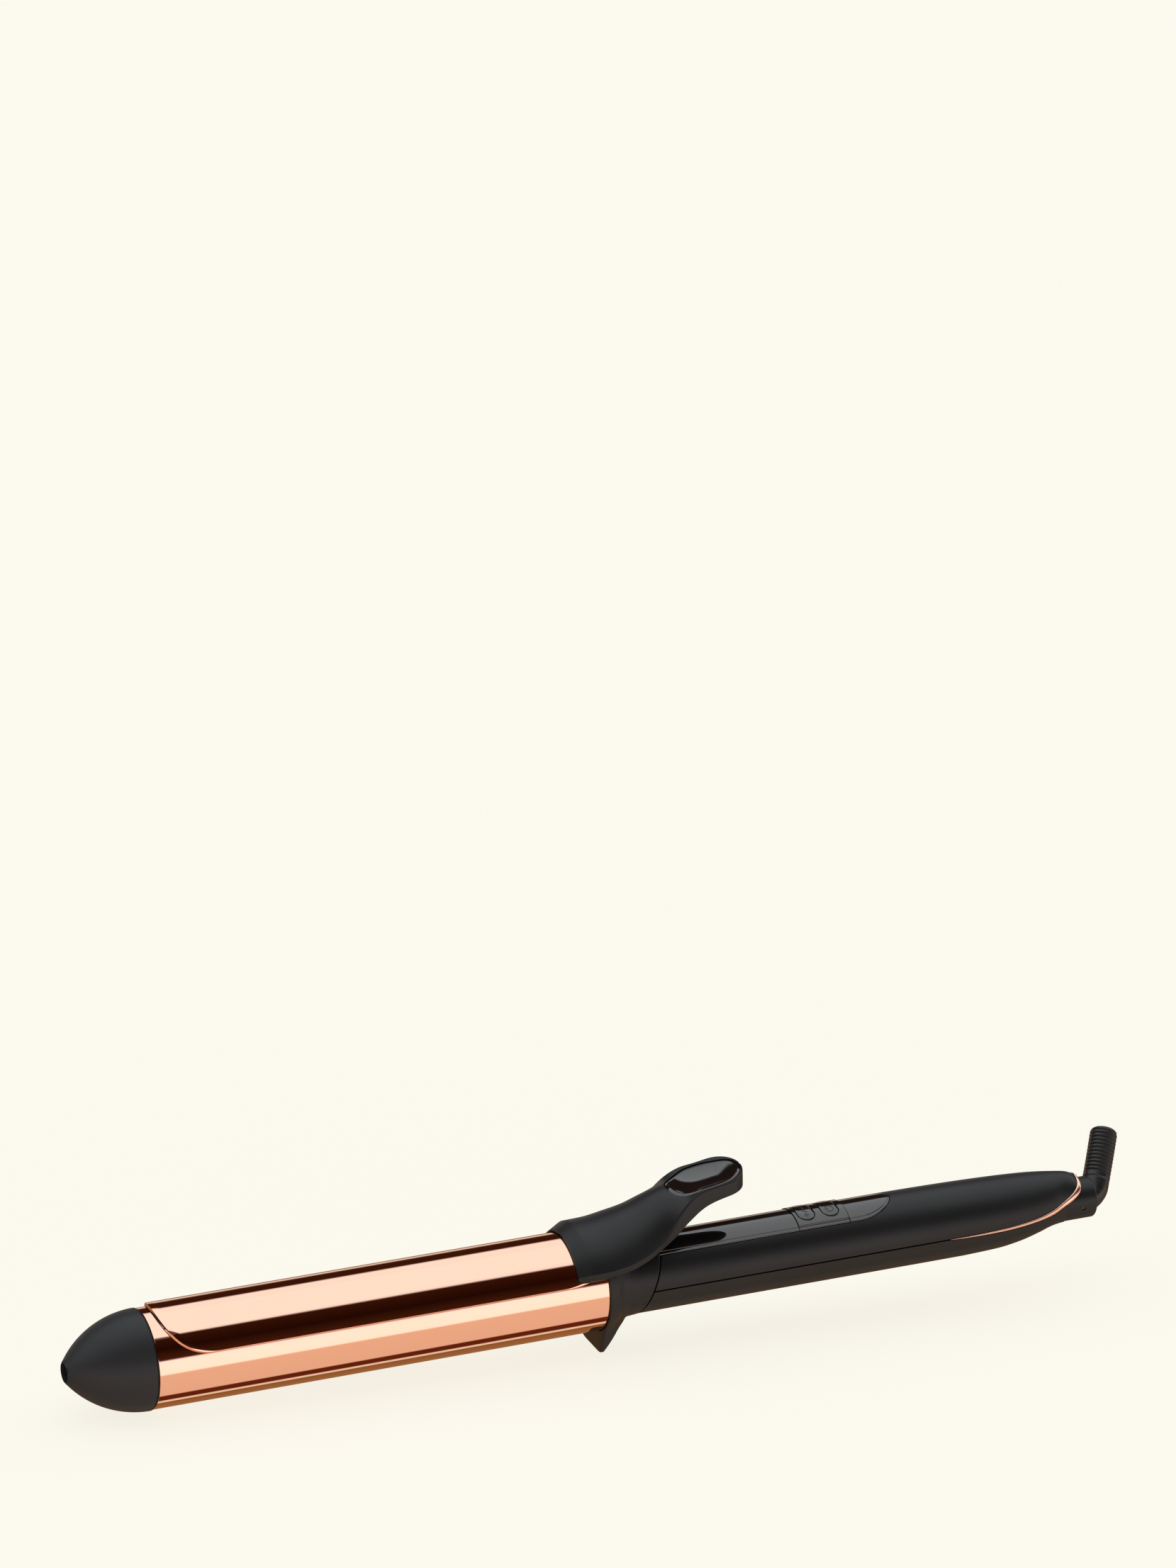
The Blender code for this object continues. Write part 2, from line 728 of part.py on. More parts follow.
def inset_solid(name, grow, low, high):
    """A piece over the oval of the thumb rest, between two offsets from the surface."""
    rings = 4
    spokes = 32
    layers = []
    for offset in (low, high):
        layer = [(INSET_X, 0, lever_surface_z(INSET_X, 0) + offset)]
        for ring in range(1, rings + 1):
            share = ring / rings
            for spoke in range(spokes):
                a = math.tau * spoke / spokes
                x = INSET_X + share * (INSET_HALF_LENGTH + grow) * math.cos(a)
                y = share * (INSET_HALF_WIDTH + grow) * math.sin(a)
                layer.append((x, y, lever_surface_z(x, y) + offset))
        layers.append(layer)
    count = len(layers[0])
    faces = []

    def at(ring, spoke):
        return 1 + (ring - 1) * spokes + spoke % spokes

    for spoke in range(spokes):
        faces.append((0, at(1, spoke + 1), at(1, spoke)))
        faces.append((count, count + at(1, spoke), count + at(1, spoke + 1)))
        for ring in range(1, rings):
            quad = (at(ring, spoke), at(ring, spoke + 1), at(ring + 1, spoke + 1), at(ring + 1, spoke))
            faces.append(quad)
            faces.append(tuple(count + i for i in reversed(quad)))
        last = rings
        faces.append(
            (at(last, spoke), at(last, spoke + 1), count + at(last, spoke + 1), count + at(last, spoke))
        )
    return outward(mesh_of(name, layers[0] + layers[1], faces))


def build_lever():
    """The moulded thumb lever: a saddle over the barrel's end with a dished tab."""
    s = np.sin(np.linspace(-math.pi / 2, math.pi / 2, 19))
    middle = list(np.linspace(-6.3, 42, 16))
    end = [42 + (LEVER_END_X - 42) * math.sin(math.radians(a)) for a in (20, 38, 54, 68, 80)]
    outer = []
    inner = []
    for x in [-10.5] + middle + end:
        y, z = lever_outer(x, s)
        outer.append([(x, -b, c) for b, c in zip(y, z)])
        y, z = lever_inner(x, s)
        inner.append([(x, -b, c) for b, c in zip(y, z)])
    lever = add_part("lever", loft_mesh("lever", outer, inner), "black_soft")
    for sign in (-1, 1):
        side = "near" if sign < 0 else "far"
        start = (PIVOT_X, sign * 9.2, PIVOT_Z)
        boss = rod_mesh("boss", start, (PIVOT_X, sign * 13.4, PIVOT_Z), BOSS_R)
        join(lever, add_cutter("boss_" + side, boss))
        bore_r = PIN_R + PIN_PLAY
        bore = rod_mesh("bore", (PIVOT_X, sign * 5, PIVOT_Z), (PIVOT_X, sign * 12, PIVOT_Z), bore_r)
        cut(lever, add_cutter("boss_bore_" + side, bore))
    recess = inset_solid("inset_recess", GAP, -INSET_DEPTH, 6)
    cut(lever, add_cutter("inset_recess", recess))
    inset = inset_solid("thumb_inset", 0, GAP - INSET_DEPTH, 0)
    add_part("thumb_inset", inset, "black_gloss")
    return lever


# ---------------------------------------------------------------- handle


def handle_section(x):
    """Half-width, height above and depth below the handle's axis, and that axis."""
    width = smooth(x, (110, 125, 138, 149, 156, 161.5, 167), (12.25, 12.1, 11.6, 10.6, 9.2, 7.4, 7.0))
    top = smooth(x, (100, 118, 135, 150, 160, 164, 166.2, 167), (11.65, 11.4, 11.0, 10.4, 9.5, 8.8, 7.9, 7.2))
    low = smooth(x, (126, 138, 146, 152, 157.5, 162), (12.85, 12.4, 11.2, 9.5, 7.9, 7.65))
    axis = HANDLE_Z - 0.4 * float(np.clip((x - 126) / 35, 0, 1))
    return width, top - axis, low + axis, axis


def handle_point(x, angle, lift=0.0):
    """A point on the handle's skin; angle is in degrees from the near side, up."""
    width, rise, drop, axis = handle_section(x)
    a = math.radians(angle)
    height = rise if a > 0 and a < math.pi else drop
    return (x, (width + lift) * math.cos(a), axis + (height + lift) * math.sin(a))


def trim_edge(x, edge):
    """The angle of one edge of the trim at distance x: a quarter superellipse."""
    span, power = edge
    u = np.clip((x - TRIM_START_X) / span, 0, 1)
    return SEAM_ANGLE + (90 - SEAM_ANGLE) * (1 - (1 - u**power) ** (1 / power))


def shell_rows(stations, upper):
    """Rows of points for one handle shell, each from one seam to the other."""
    rows = []
    for x in stations:
        edge = TRIM_UPPER if upper else TRIM_LOWER
        reach = float(trim_edge(x, edge))
        radius = handle_section(x)[0]
        clear = math.degrees(0.8 * GAP / radius)
        if upper:
            angles = np.linspace(reach + clear, 180 - reach - clear, ARC_POINTS)
        else:
            angles = np.linspace(reach - clear, -180 - reach + clear, ARC_POINTS)
        row = []
        for angle in angles:
            px, py, pz = handle_point(x, angle)
            if x < SHELL_FRONT_X + 5:
                blend = (SHELL_FRONT_X + 5 - x) / 5
                px += SHELL_FRONT_SLOPE * pz * blend
            row.append((px, py, pz))
        rows.append(row if upper else row[::-1])
    return rows


def build_shells():
    front = [SHELL_FRONT_X, SHELL_FRONT_X + 5]
    body = [60, 100, 112]
    tail = list(np.linspace(121, 160, 11))
    upper_end = [162, 163.8, 165.2, 166.2]
    upper = sheet("upper_shell", shell_rows(front + body + tail + upper_end, True), "black_soft", SHELL_WALL)
    lower = sheet("lower_shell", shell_rows(front + body + tail + [NECK_X], False), "black_soft", SHELL_WALL)

    opening = outline_mesh("panel_opening", panel_outline(0, SHELL_FRONT_X - 5), 2, 20)
    cut(upper, add_cutter("panel_opening", opening))
    bearing_room = rod_mesh("shaft_room", (140, 0, STUB_Z), (180, 0, STUB_Z), STUB_R + GAP, sides=48)
    cut(upper, add_cutter("stub_room", bearing_room))

    for key, x in SCREW_X.items():
        boss = rod_mesh("boss", (x, 0, -11.9), (x, 0, -8.9), 3.6)
        join(lower, add_cutter("boss_" + key, boss))
        well = rod_mesh("well", (x, 0, -16), (x, 0, -10.5), 2.7)
        cut(lower, add_cutter("well_" + key, well))
        hole = rod_mesh("hole", (x, 0, -12), (x, 0, -7), 1.35)
        cut(lower, add_cutter("hole_" + key, hole))


def build_trim():
    """The crescent between the shells: a point at each seam, widest over the end."""
    rows = []
    sweep = np.linspace(0, math.pi / 2, 24)[1:]
    for share in np.linspace(0, 1, 5):
        half = []
        for t in sweep:
            points = []
            for span, power in (TRIM_UPPER, TRIM_LOWER):
                u = math.sin(t) ** (2 / power)
                v = 1 - math.cos(t) ** (2 / power) if t < math.pi / 2 - 1e-6 else 1
                points.append((TRIM_START_X + span * u, SEAM_ANGLE + (90 - SEAM_ANGLE) * v))
            (x0, a0), (x1, a1) = points
            inset = 0.12
            mix = inset + (1 - 2 * inset) * share
            half.append((x0 + (x1 - x0) * mix, a0 + (a1 - a0) * mix))
        full = half + [(x, 180 - a) for x, a in reversed(half[:-1])]
        rows.append([handle_point(min(x, 168), a, 0.1) for x, a in full])
    sheet("trim_band", rows, "rose_gold", 0.9)


# ---------------------------------------------------------------- control panel


def panel_outline(grow, front):
    """The panel in plan: straight sides and a half-ellipse behind."""
    half = PANEL_HALF_WIDTH + grow
    nose = PANEL_END_X - PANEL_NOSE
    outline = [(front, -half), (nose, -half)]
    for step in range(1, 16):
        a = -math.pi / 2 + math.pi * step / 16
        outline.append((nose + (PANEL_NOSE + grow) * math.cos(a), half * math.sin(a)))
    outline += [(nose, half), (front, half)]
    return outline


def stadium(x, length, width, grow=0.0):
    """A slot in plan, long across the handle, with round ends."""
    radius = length / 2 + grow
    straight = (width - length) / 2
    outline = []
    for centre, start in ((straight, 0), (-straight, math.pi)):
        for step in range(9):
            a = start + math.pi * step / 8
            outline.append((x + radius * math.cos(a), centre + radius * math.sin(a)))
    return outline


def panel_piece(name, front, rear, material_name, lift):
    """One length of the control panel, cut from a curved sheet."""
    stations = np.linspace(front, rear, 3 if rear < 90 else 9)
    rows = []
    for x in stations:
        angles = np.linspace(38, 142, 25)
        rows.append([handle_point(x, a, lift) for a in angles])
    piece = sheet(name, rows, material_name, SHELL_WALL + lift)
    inside = outline_mesh(name, panel_outline(-GAP, SHELL_FRONT_X - 8), 2, 20)
    keep_inside(piece, add_cutter(name + "_outline", inside))
    return piece


def build_panel():
    zone_front, zone_rear = BUTTON_ZONE
    start = SHELL_FRONT_X + 1.4
    panel_piece("panel_front", start, zone_front - GAP / 2, "black_gloss", 0.0)
    bezel = panel_piece("button_bezel", zone_front + GAP / 2, zone_rear - GAP / 2, "black_gloss", 0.1)
    panel_piece("panel_rear", zone_rear + GAP / 2, PANEL_END_X + 1, "black_gloss", 0.0)

    length, width = BUTTON_SIZE
    crown = rod_mesh("crown", (60, 0, HANDLE_Z), (95, 0, HANDLE_Z), HANDLE_R + BUTTON_PROUD, sides=96)
    crown = add_cutter("button_crown", crown)
    for name, x in BUTTON_X.items():
        mesh = outline_mesh(name, stadium(0, length, width), 8.6, 20)
        button = place(add_part(name, mesh, "black_gloss", smooth_faces=False), (x, 0, 0))
        keep_inside(button, crown)
        stem = rod_mesh("stem", (x, 0, 7.7), (x, 0, 9.2), 1.3, sides=20)
        join(button, add_cutter(name + "_stem", stem))
        slot = outline_mesh("slot", stadium(x, length, width, GAP), 2, 20)
        cut(bezel, add_cutter(name + "_slot", slot))


def build_electronics():
    top = BOARD_Z + BOARD_THICKNESS
    board = box_mesh("circuit_board", (30, -8.2, BOARD_Z), (100, 8.2, top))
    add_part("circuit_board", board, "board_green", smooth_faces=False)
    for button, x in BUTTON_X.items():
        name = button.replace("button", "switch")
        body = box_mesh(name, (x - 3, -3, top + GAP / 2), (x + 3, 3, 6.7))
        switch = add_part(name, body, "inner_plastic", smooth_faces=False)
        plunger = rod_mesh("plunger", (x, 0, 6), (x, 0, 7.0), 1.1, sides=20)
        join(switch, add_cutter(name + "_plunger", plunger))
    can = rod_mesh("capacitor", (40, 0, top + 2.4), (56, 0, top + 2.4), 2.2, sides=28)
    add_part("capacitor", can, "inner_plastic")
    chip = box_mesh("control_chip", (59, -3.5, top + GAP / 2), (66, 3.5, top + 1.6))
    add_part("control_chip", chip, "inner_plastic", smooth_faces=False)

    for key, x in SCREW_X.items():
        radius = 9.0 if key == "rear" else 10.2
        name = "chassis_rib_" + key
        disc = rod_mesh(name, (x - 3, 0, HANDLE_Z), (x + 3, 0, HANDLE_Z), radius, sides=48)
        rib = add_part(name, disc, "inner_plastic")
        if key == "front":
            above = box_mesh("above", (x - 9, -20, 3.1), (x + 9, 20, 20))
            cut(rib, add_cutter("rib_above_" + key, above))
        passage = rod_mesh("passage", (x - 9, 0, 0.5), (x + 9, 0, 0.5), 2.6, sides=24)
        cut(rib, add_cutter("rib_passage_" + key, passage))
        notch = rod_mesh("notch", (x, 0, -20), (x, 0, -8.6), 4.6)
        cut(rib, add_cutter("rib_notch_" + key, notch))
        hole = rod_mesh("hole", (x, 0, -10), (x, 0, -3.4), 1.3, sides=20)
        cut(rib, add_cutter("rib_hole_" + key, hole))
        screw_profile = [
            (-12.2, 0),
            (-12.2, 1.9),
            (-11.7, 2.4),
            (-10.65, 2.4),
            (-10.65, 1.15),
            (-4.2, 1.15),
            (-3.7, 0),
        ]
        screw = turned("shell_screw_" + key, screw_profile, "steel", steps=24)
        place(screw, (x, 0, 0), (0, 0, 0))

    for name, side, colour in (("lead_live", 1, "wire_red"), ("lead_neutral", -1, "wire_blue")):
        run = []
        for step in range(25):
            t = step / 24
            x = -18 + 41 * t
            y = side * (4.4 - 1.0 * math.sin(math.pi * t))
            z = -1.2 + 3.2 * t * t * (3 - 2 * t)
            run.append((x, y, z))
        wire(name, run, 0.75, colour)


# ---------------------------------------------------------------- cord swivel


def relief_path(count):
    """Points and directions down the middle of the strain relief.

    It leaves the stub along the axis, turns upward and away on an arc, and
    then keeps a slight further bend.
    """
    along = Vector((1, 0, 0))
    aside = (RELIEF_DIRECTION - along * RELIEF_DIRECTION.x).normalized()
    final = (RELIEF_DIRECTION + Vector((-0.02, 0.04, 0))).normalized()
    place_now = Vector((RELIEF_CUP_X + GAP, 0, STUB_Z))
    points = [place_now.copy()]
    directions = [along.copy()]
    steps = 240
    for i in range(steps):
        t = (i + 0.5) / steps
        turn = min(t * RELIEF_LENGTH / RELIEF_BEND_R, math.acos(RELIEF_DIRECTION.x))
        late = max(0.0, (t - 0.35) / 0.65)
        heading = along * math.cos(turn) + aside * math.sin(turn)
        heading = heading.lerp(final, 0.8 * late).normalized()
        place_now = place_now + heading * (RELIEF_LENGTH / steps)
        points.append(place_now.copy())
        directions.append(heading)
    picks = [round(i * steps / (count - 1)) for i in range(count)]
    return [points[i] for i in picks], [directions[i] for i in picks]


def build_swivel():
    stub = [
        (NECK_X + GAP, STUB_R),
        (STUB_END_X - 0.4, STUB_R),
        (STUB_END_X, STUB_R - 0.4),
        (STUB_END_X, RELIEF_CUP_R),
        (RELIEF_CUP_X, RELIEF_CUP_R),
        (RELIEF_CUP_X, RELIEF_BORE_R),
        (136, RELIEF_BORE_R),
        (136, SHAFT_R),
        (148.4, SHAFT_R),
        (148.4, 5.4),
        (150.4, 5.4),
        (150.4, SHAFT_R),
        (NECK_X + GAP, SHAFT_R),
    ]
    turned("swivel_stub", stub, "black_soft", centre_z=STUB_Z, steps=40)
    bearing = [
        (150.7, SHAFT_R + 0.1),
        (150.7, 5.3),
        (155.0, 5.3),
        (155.0, SHAFT_R + 0.1),
    ]
    turned("swivel_bearing", bearing, "brass", centre_z=STUB_Z, steps=48)
    for name, x in (("contact_ring_front", 142.6), ("contact_ring_rear", 145.6)):
        ring = [(x, SHAFT_R + 0.1), (x, 4.4), (x + 1.6, 4.4), (x + 1.6, SHAFT_R + 0.1)]
        turned(name, ring, "brass", centre_z=STUB_Z, steps=32)
        side = -1 if name.endswith("front") else 1
        low, high = sorted((side * 4.8, side * 6.6))
        brush_name = name.replace("contact_ring", "brush")
        brush = box_mesh(brush_name, (x + 0.2, low, STUB_Z - 1.2), (x + 1.4, high, STUB_Z + 1.2))
        add_part(brush_name, brush, "brass", smooth_faces=False)

    count = 30
    sides = 16
    points, directions = relief_path(count)
    outer = []
    inner = []
    for i, (centre, heading) in enumerate(zip(points, directions)):
        t = i / (count - 1)
        radius = RELIEF_R * (1 + 0.1 * max(0.0, 1 - t / 0.12))
        if t > 0.34:
            radius -= 0.25 * (i % 2)
        if i == count - 1:
            radius -= 0.9
        across = heading.cross(Vector((0, 0.8, -0.6))).normalized()
        other = heading.cross(across)
        for ring, size in ((outer, radius), (inner, RELIEF_BORE_R)):
            turn = np.linspace(0, math.tau, sides, endpoint=False)
            ring.append([centre + size * (math.cos(a) * across + math.sin(a) * other) for a in turn])
    outer_id = np.arange(count * sides).reshape(count, sides)
    inner_id = outer_id + count * sides
    faces = []
    for ids, flip in ((outer_id, False), (inner_id, True)):
        for i in range(count - 1):
            for j in range(sides):
                k = (j + 1) % sides
                quad = (ids[i, j], ids[i, k], ids[i + 1, k], ids[i + 1, j])
                faces.append(quad[::-1] if flip else quad)
    for i in (0, count - 1):
        for j in range(sides):
            k = (j + 1) % sides
            faces.append((outer_id[i, j], outer_id[i, k], inner_id[i, k], inner_id[i, j]))
    faces = [tuple(int(v) for v in face) for face in faces]
    flat = [p for ring in outer for p in ring] + [p for ring in inner for p in ring]
    add_part("strain_relief", outward(mesh_of("strain_relief", flat, faces)), "rubber")


def main():
    clear_scene()
    make_collections()
    build_barrel()
    build_tip()
    build_heater()
    build_collar()
    build_hinge()
    build_clip()
    build_shells()
    build_trim()
    build_panel()
    build_electronics()
    build_swivel()


main()
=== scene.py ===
"""The finished look of a curling iron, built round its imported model.

Every new piece is a surface worked out with numpy in the iron's own frame: X
runs along the iron from the cool tip to the cord, with 0 at the barrel's rear
rim, Y runs across, Z up, and lengths are in millimetres. One fixed turn and
shift, read from the swivel joint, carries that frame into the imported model's.
"""

import json
import math
import bmesh
import bpy
import numpy as np
from bpy.props import FloatProperty, FloatVectorProperty, IntProperty, PointerProperty
from bpy.types import Operator, Panel, PropertyGroup
from mathutils import Matrix, Vector


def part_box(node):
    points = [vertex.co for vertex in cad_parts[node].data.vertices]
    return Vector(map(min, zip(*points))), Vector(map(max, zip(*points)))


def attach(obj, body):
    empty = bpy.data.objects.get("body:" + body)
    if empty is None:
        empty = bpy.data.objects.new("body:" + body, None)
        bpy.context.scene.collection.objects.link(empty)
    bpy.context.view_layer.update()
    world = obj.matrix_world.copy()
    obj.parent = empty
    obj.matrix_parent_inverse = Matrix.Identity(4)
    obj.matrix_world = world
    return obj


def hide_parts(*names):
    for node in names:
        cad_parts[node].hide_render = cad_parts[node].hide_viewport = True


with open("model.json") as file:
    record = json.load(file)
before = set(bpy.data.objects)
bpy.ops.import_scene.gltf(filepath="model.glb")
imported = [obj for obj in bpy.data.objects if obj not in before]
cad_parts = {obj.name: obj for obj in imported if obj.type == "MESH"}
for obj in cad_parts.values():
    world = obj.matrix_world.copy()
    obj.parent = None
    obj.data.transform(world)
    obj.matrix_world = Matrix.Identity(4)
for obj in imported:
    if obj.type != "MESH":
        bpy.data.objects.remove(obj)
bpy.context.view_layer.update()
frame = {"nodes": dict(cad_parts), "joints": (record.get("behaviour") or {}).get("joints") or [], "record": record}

bl_info = {
    "name": "Curling Iron Finish",
    "version": (1, 0, 0),
    "blender": (4, 5, 0),
    "location": "View3D > Sidebar > Iron",
    "description": "Builds the visible pieces of a clip curling iron",
    "category": "Add Mesh",
}

MM = 0.001

# Where the cord swivel's joint lies in the iron's own frame.
SWIVEL_PLACE = (162.0, 0.0, -1.0)

# Barrel, clip and lever.
BARREL_LENGTH = 150.0
GAP = 0.3
CLIP_FRONT_X = -147.3
CLIP_HALF_ANGLE = 68.5
ARCH = math.radians(65)
LEVER_END_X = 50.4
LEVER_TURN_X = 42.0
INSET = (37.7, 12.1, 8.4)

# Handle: the seam's angle, the trim edges as (length, power, sag), and the shells' ends.
HANDLE_Z = -0.6
HANDLE_R = 12.22
SEAM_ANGLE = -5.0
SEAM_CLEAR = 1.2
TRIM_START_X = 117.0
TRIM_UPPER = (49.7, 3.5, 0.0)
TRIM_LOWER = (50.7, 4.3, 3.5)
SHELL_FRONT_X = 17.3
SHELL_SLOPE = 0.366
SHELL_END_X = 166.2
NECK_X = 161.5
SCREW_X = (27.0, 112.0, 129.0)

# Control panel and buttons.
PANEL_HALF = 8.2
PANEL_END_X = 102.0
PANEL_NOSE = 13.0
BUTTON_ZONE = (68.0, 85.4)
BUTTON_X = {"temp_button": 72.1, "power_button": 80.3}
MARK_WIDTH = 0.44

# Cord end: the stub, the mouth that holds the sleeve as (x, radius), and the sleeve's line.
STUB_Z = -1.0
STUB_R = 6.65
STUB_END_X = 172.5
RELIEF_CUP = (170.6, 5.75)
RELIEF_LENGTH = 25.2
RELIEF_BEND = 4.7
RELIEF_HEADING = (0.44, 0.59, 0.69)
RELIEF_R = 4.42
BORE_R = 2.2

SOFT_BLACK = "soft_black_plastic"
GLOSS_BLACK = "gloss_black_plastic"
ROSE_GOLD = "rose_gold_plate"


# ------------------------------------------------------------------ user values


def length(name, description, default):
    """A length property, in metres."""
    return FloatProperty(name=name, description=description, default=default, unit="LENGTH", min=0)


def colour(name, description, default):
    """A colour property."""
    return FloatVectorProperty(
        name=name, description=description, default=default, subtype="COLOR", size=3, min=0, max=1
    )


def half_height(node):
    """Half of a node's width across the iron, in metres."""
    low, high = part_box(node)
    return (high.y - low.y) / 2


class IronSizes(PropertyGroup):
    """Sizes of the visible pieces."""

    barrel_radius: length("Barrel radius", "Outer radius of the heated barrel", half_height("barrel_tube"))
    tip_radius: length("Cool tip radius", "Radius of the cool tip's base", half_height("cool_tip"))
    clip_sheet: length("Clip sheet", "Thickness of the clip plate", 0.0008)
    shell_wall: length("Shell wall", "Wall thickness of the handle shells", 0.0016)
    handle_radius: length("Handle radius", "Radius of the handle's straight part", 0.01225)
    rib_depth: length("Rib depth", "Height of a rib on the strain relief", 0.00042)
    rib_count: IntProperty(
        name="Ribs", description="Ribs along each side of the strain relief", default=12, min=2
    )
    edge_round: length("Edge rounding", "Radius on the thin edges of sheets and shells", 0.00022)


class IronColours(PropertyGroup):
    """Colours and gloss of the finishes."""

    rose_gold: colour("Rose gold", "Plating on the barrel, clip and trim", (0.88, 0.50, 0.36))
    soft_black: colour("Soft black", "Matte handle plastic", (0.008, 0.008, 0.0085))
    gloss_black: colour("Gloss black", "Panel, buttons and thumb rest", (0.006, 0.006, 0.006))
    tip_black: colour("Tip black", "Heat-proof plastic of the cool tip", (0.016, 0.016, 0.018))
    rubber_black: colour("Rubber black", "Strain relief", (0.009, 0.009, 0.0095))
    mark_grey: colour("Mark grey", "Signs on the buttons", (0.02, 0.02, 0.02))
    floor: colour("Floor", "The floor round the iron", (0.99, 0.955, 0.855))
    polish: FloatProperty(
        name="Polish", description="Roughness of the rose-gold plating", default=0.045, min=0, max=1
    )


def sizes():
    """The sizes in use."""
    return bpy.context.scene.iron_sizes


def colours():
    """The colours in use."""
    return bpy.context.scene.iron_colours


# ------------------------------------------------------------------ the frame


def frame_matrix():
    """The turn and shift from the iron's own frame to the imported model's."""
    joint = next(j for j in frame["joints"] if j["name"] == "cord_swivel")
    along = Vector(joint["axis"]).normalized()
    turn = np.array([[along.x, 0, -along.z], [0, 1, 0], [along.z, 0, along.x]])
    shift = np.array(joint["pos_m"]) - turn @ (np.array(SWIVEL_PLACE) * MM)
    return turn, shift


TURN, SHIFT = frame_matrix()


def to_model(points):
    """Points of the iron's own frame, in millimetres, as metres in the model."""
    return np.asarray(points, float) * MM @ TURN.T + SHIFT


# ------------------------------------------------------------------ shape tools


def smooth(x, xs, ys):
    """A monotone cubic through the points: harmonic mean slopes, so no overshoot."""
    xs = np.asarray(xs, float)
    ys = np.asarray(ys, float)
    step = np.diff(xs)
    slope = np.diff(ys) / step
    tangent = np.zeros(len(xs))
    product = slope[:-1] * slope[1:]
    total = np.where(product > 0, slope[:-1] + slope[1:], 1)
    tangent[1:-1] = np.where(product > 0, 2 * product / total, 0)
    tangent[0] = slope[0]
    tangent[-1] = slope[-1]
    x = np.clip(np.asarray(x, float), xs[0], xs[-1])
    i = np.clip(np.searchsorted(xs, x, side="right") - 1, 0, len(step) - 1)
    t = (x - xs[i]) / step[i]
    bow = step[i] * t * (1 - t) * ((1 - t) * tangent[i] - t * tangent[i + 1])
    return ys[i] + bow + (ys[i + 1] - ys[i]) * t * t * (3 - 2 * t)


def ease(t):
    """0 to 1 with level ends."""
    t = np.clip(t, 0, 1)
    return t * t * (3 - 2 * t)


def fillet(points, radius, steps=5):
    """A closed outline with each corner replaced by a parabola of that reach."""
    points = np.asarray(points, float)
    radius = np.broadcast_to(radius, len(points))
    t = np.linspace(0, 1, steps)[:, None]
    out = []
    for before, corner, after, reach in zip(
        np.roll(points, 1, 0), points, np.roll(points, -1, 0), radius
    ):
        back = before - corner
        ahead = after - corner
        a = corner + back * min(0.48, reach / max(np.linalg.norm(back), 1e-9))
        b = corner + ahead * min(0.48, reach / max(np.linalg.norm(ahead), 1e-9))
        out.append((1 - t) ** 2 * a + 2 * t * (1 - t) * corner + t * t * b)
    return np.concatenate(out)


def revolve(profile, centre_z=0.0, steps=192):
    """Each (x, radius) of the profile carried round the line y = 0, z = centre_z."""
    profile = np.asarray(profile, float)
    a = np.linspace(0, math.tau, steps, endpoint=False)
    x = np.repeat(profile[:, :1], steps, 1)
    y = profile[:, 1:] * np.cos(a)
    z = centre_z + profile[:, 1:] * np.sin(a)
    return np.stack([x, y, z], -1)


def grid_faces(rows, columns, wrap_rows, wrap_columns, start):
    """The quads of a grid of vertices numbered from start."""
    ids = np.arange(rows * columns).reshape(rows, columns) + start
    if wrap_rows:
        ids = np.concatenate([ids, ids[:1]])
    if wrap_columns:
        ids = np.concatenate([ids, ids[:, :1]], 1)
    corners = (ids[:-1, :-1], ids[:-1, 1:], ids[1:, 1:], ids[1:, :-1])
    return np.stack(corners, -1).reshape(-1, 4)


def mesh_of(name, patches, merge=2e-6):
    """One mesh from patches of (grid, wrap rows, wrap columns), sewn where they meet."""
    points = []
    faces = []
    start = 0
    for grid, wrap_rows, wrap_columns in patches:
        rows, columns = grid.shape[:2]
        points.append(grid.reshape(-1, 3))
        faces.append(grid_faces(rows, columns, wrap_rows, wrap_columns, start))
        start += rows * columns
    mesh = bpy.data.meshes.new(name)
    mesh.from_pydata(to_model(np.concatenate(points)), [], np.concatenate(faces).tolist())
    bm = bmesh.new()
    bm.from_mesh(mesh)
    bmesh.ops.remove_doubles(bm, verts=bm.verts, dist=merge)
    bmesh.ops.dissolve_degenerate(bm, edges=bm.edges, dist=1e-7)
    bmesh.ops.recalc_face_normals(bm, faces=bm.faces)
    bm.to_mesh(mesh)
    bm.free()
    return mesh


def loft(outer, inner):
    """The patches of a solid between an outer and an inner grid of one shape."""
    ends = [np.stack([outer[i], inner[i]]) for i in (0, -1)]
    sides = [np.stack([outer[:, j], inner[:, j]]) for j in (0, -1)]
    return [(grid, False, False) for grid in [outer, inner] + ends + sides]


def disc_solid(over, under):
    """The patches of a solid between two polar grids that share an outline."""
    wall = np.stack([over[-1], under[-1]])
    return [(grid, False, True) for grid in (over, under, wall)]


def link(name, mesh):
    """Put a mesh in the scene as an object."""
    obj = bpy.data.objects.new(name, mesh)
    bpy.context.scene.collection.objects.link(obj)
    return obj


def modify(obj, kind, **values):
    """Add a modifier and set its values."""
    modifier = obj.modifiers.new(kind.lower(), kind)
    for key, value in values.items():
        setattr(modifier, key, value)
    return modifier


def settle(obj):
    """Make an object's modifiers real, and drop the mesh that they started from."""
    bpy.context.view_layer.update()
    graph = bpy.context.evaluated_depsgraph_get()
    made = bpy.data.meshes.new_from_object(obj.evaluated_get(graph))
    obj.modifiers.clear()
    before = obj.data
    obj.data = made
    bpy.data.meshes.remove(before)


def carve(obj, *patch_sets):
    """Cut closed shapes from an object."""
    cutters = [link("cutter", mesh_of("cutter", patches)) for patches in patch_sets]
    for cutter in cutters:
        modify(obj, "BOOLEAN", operation="DIFFERENCE", solver="EXACT", object=cutter)
    settle(obj)
    for cutter in cutters:
        bpy.data.objects.remove(cutter)


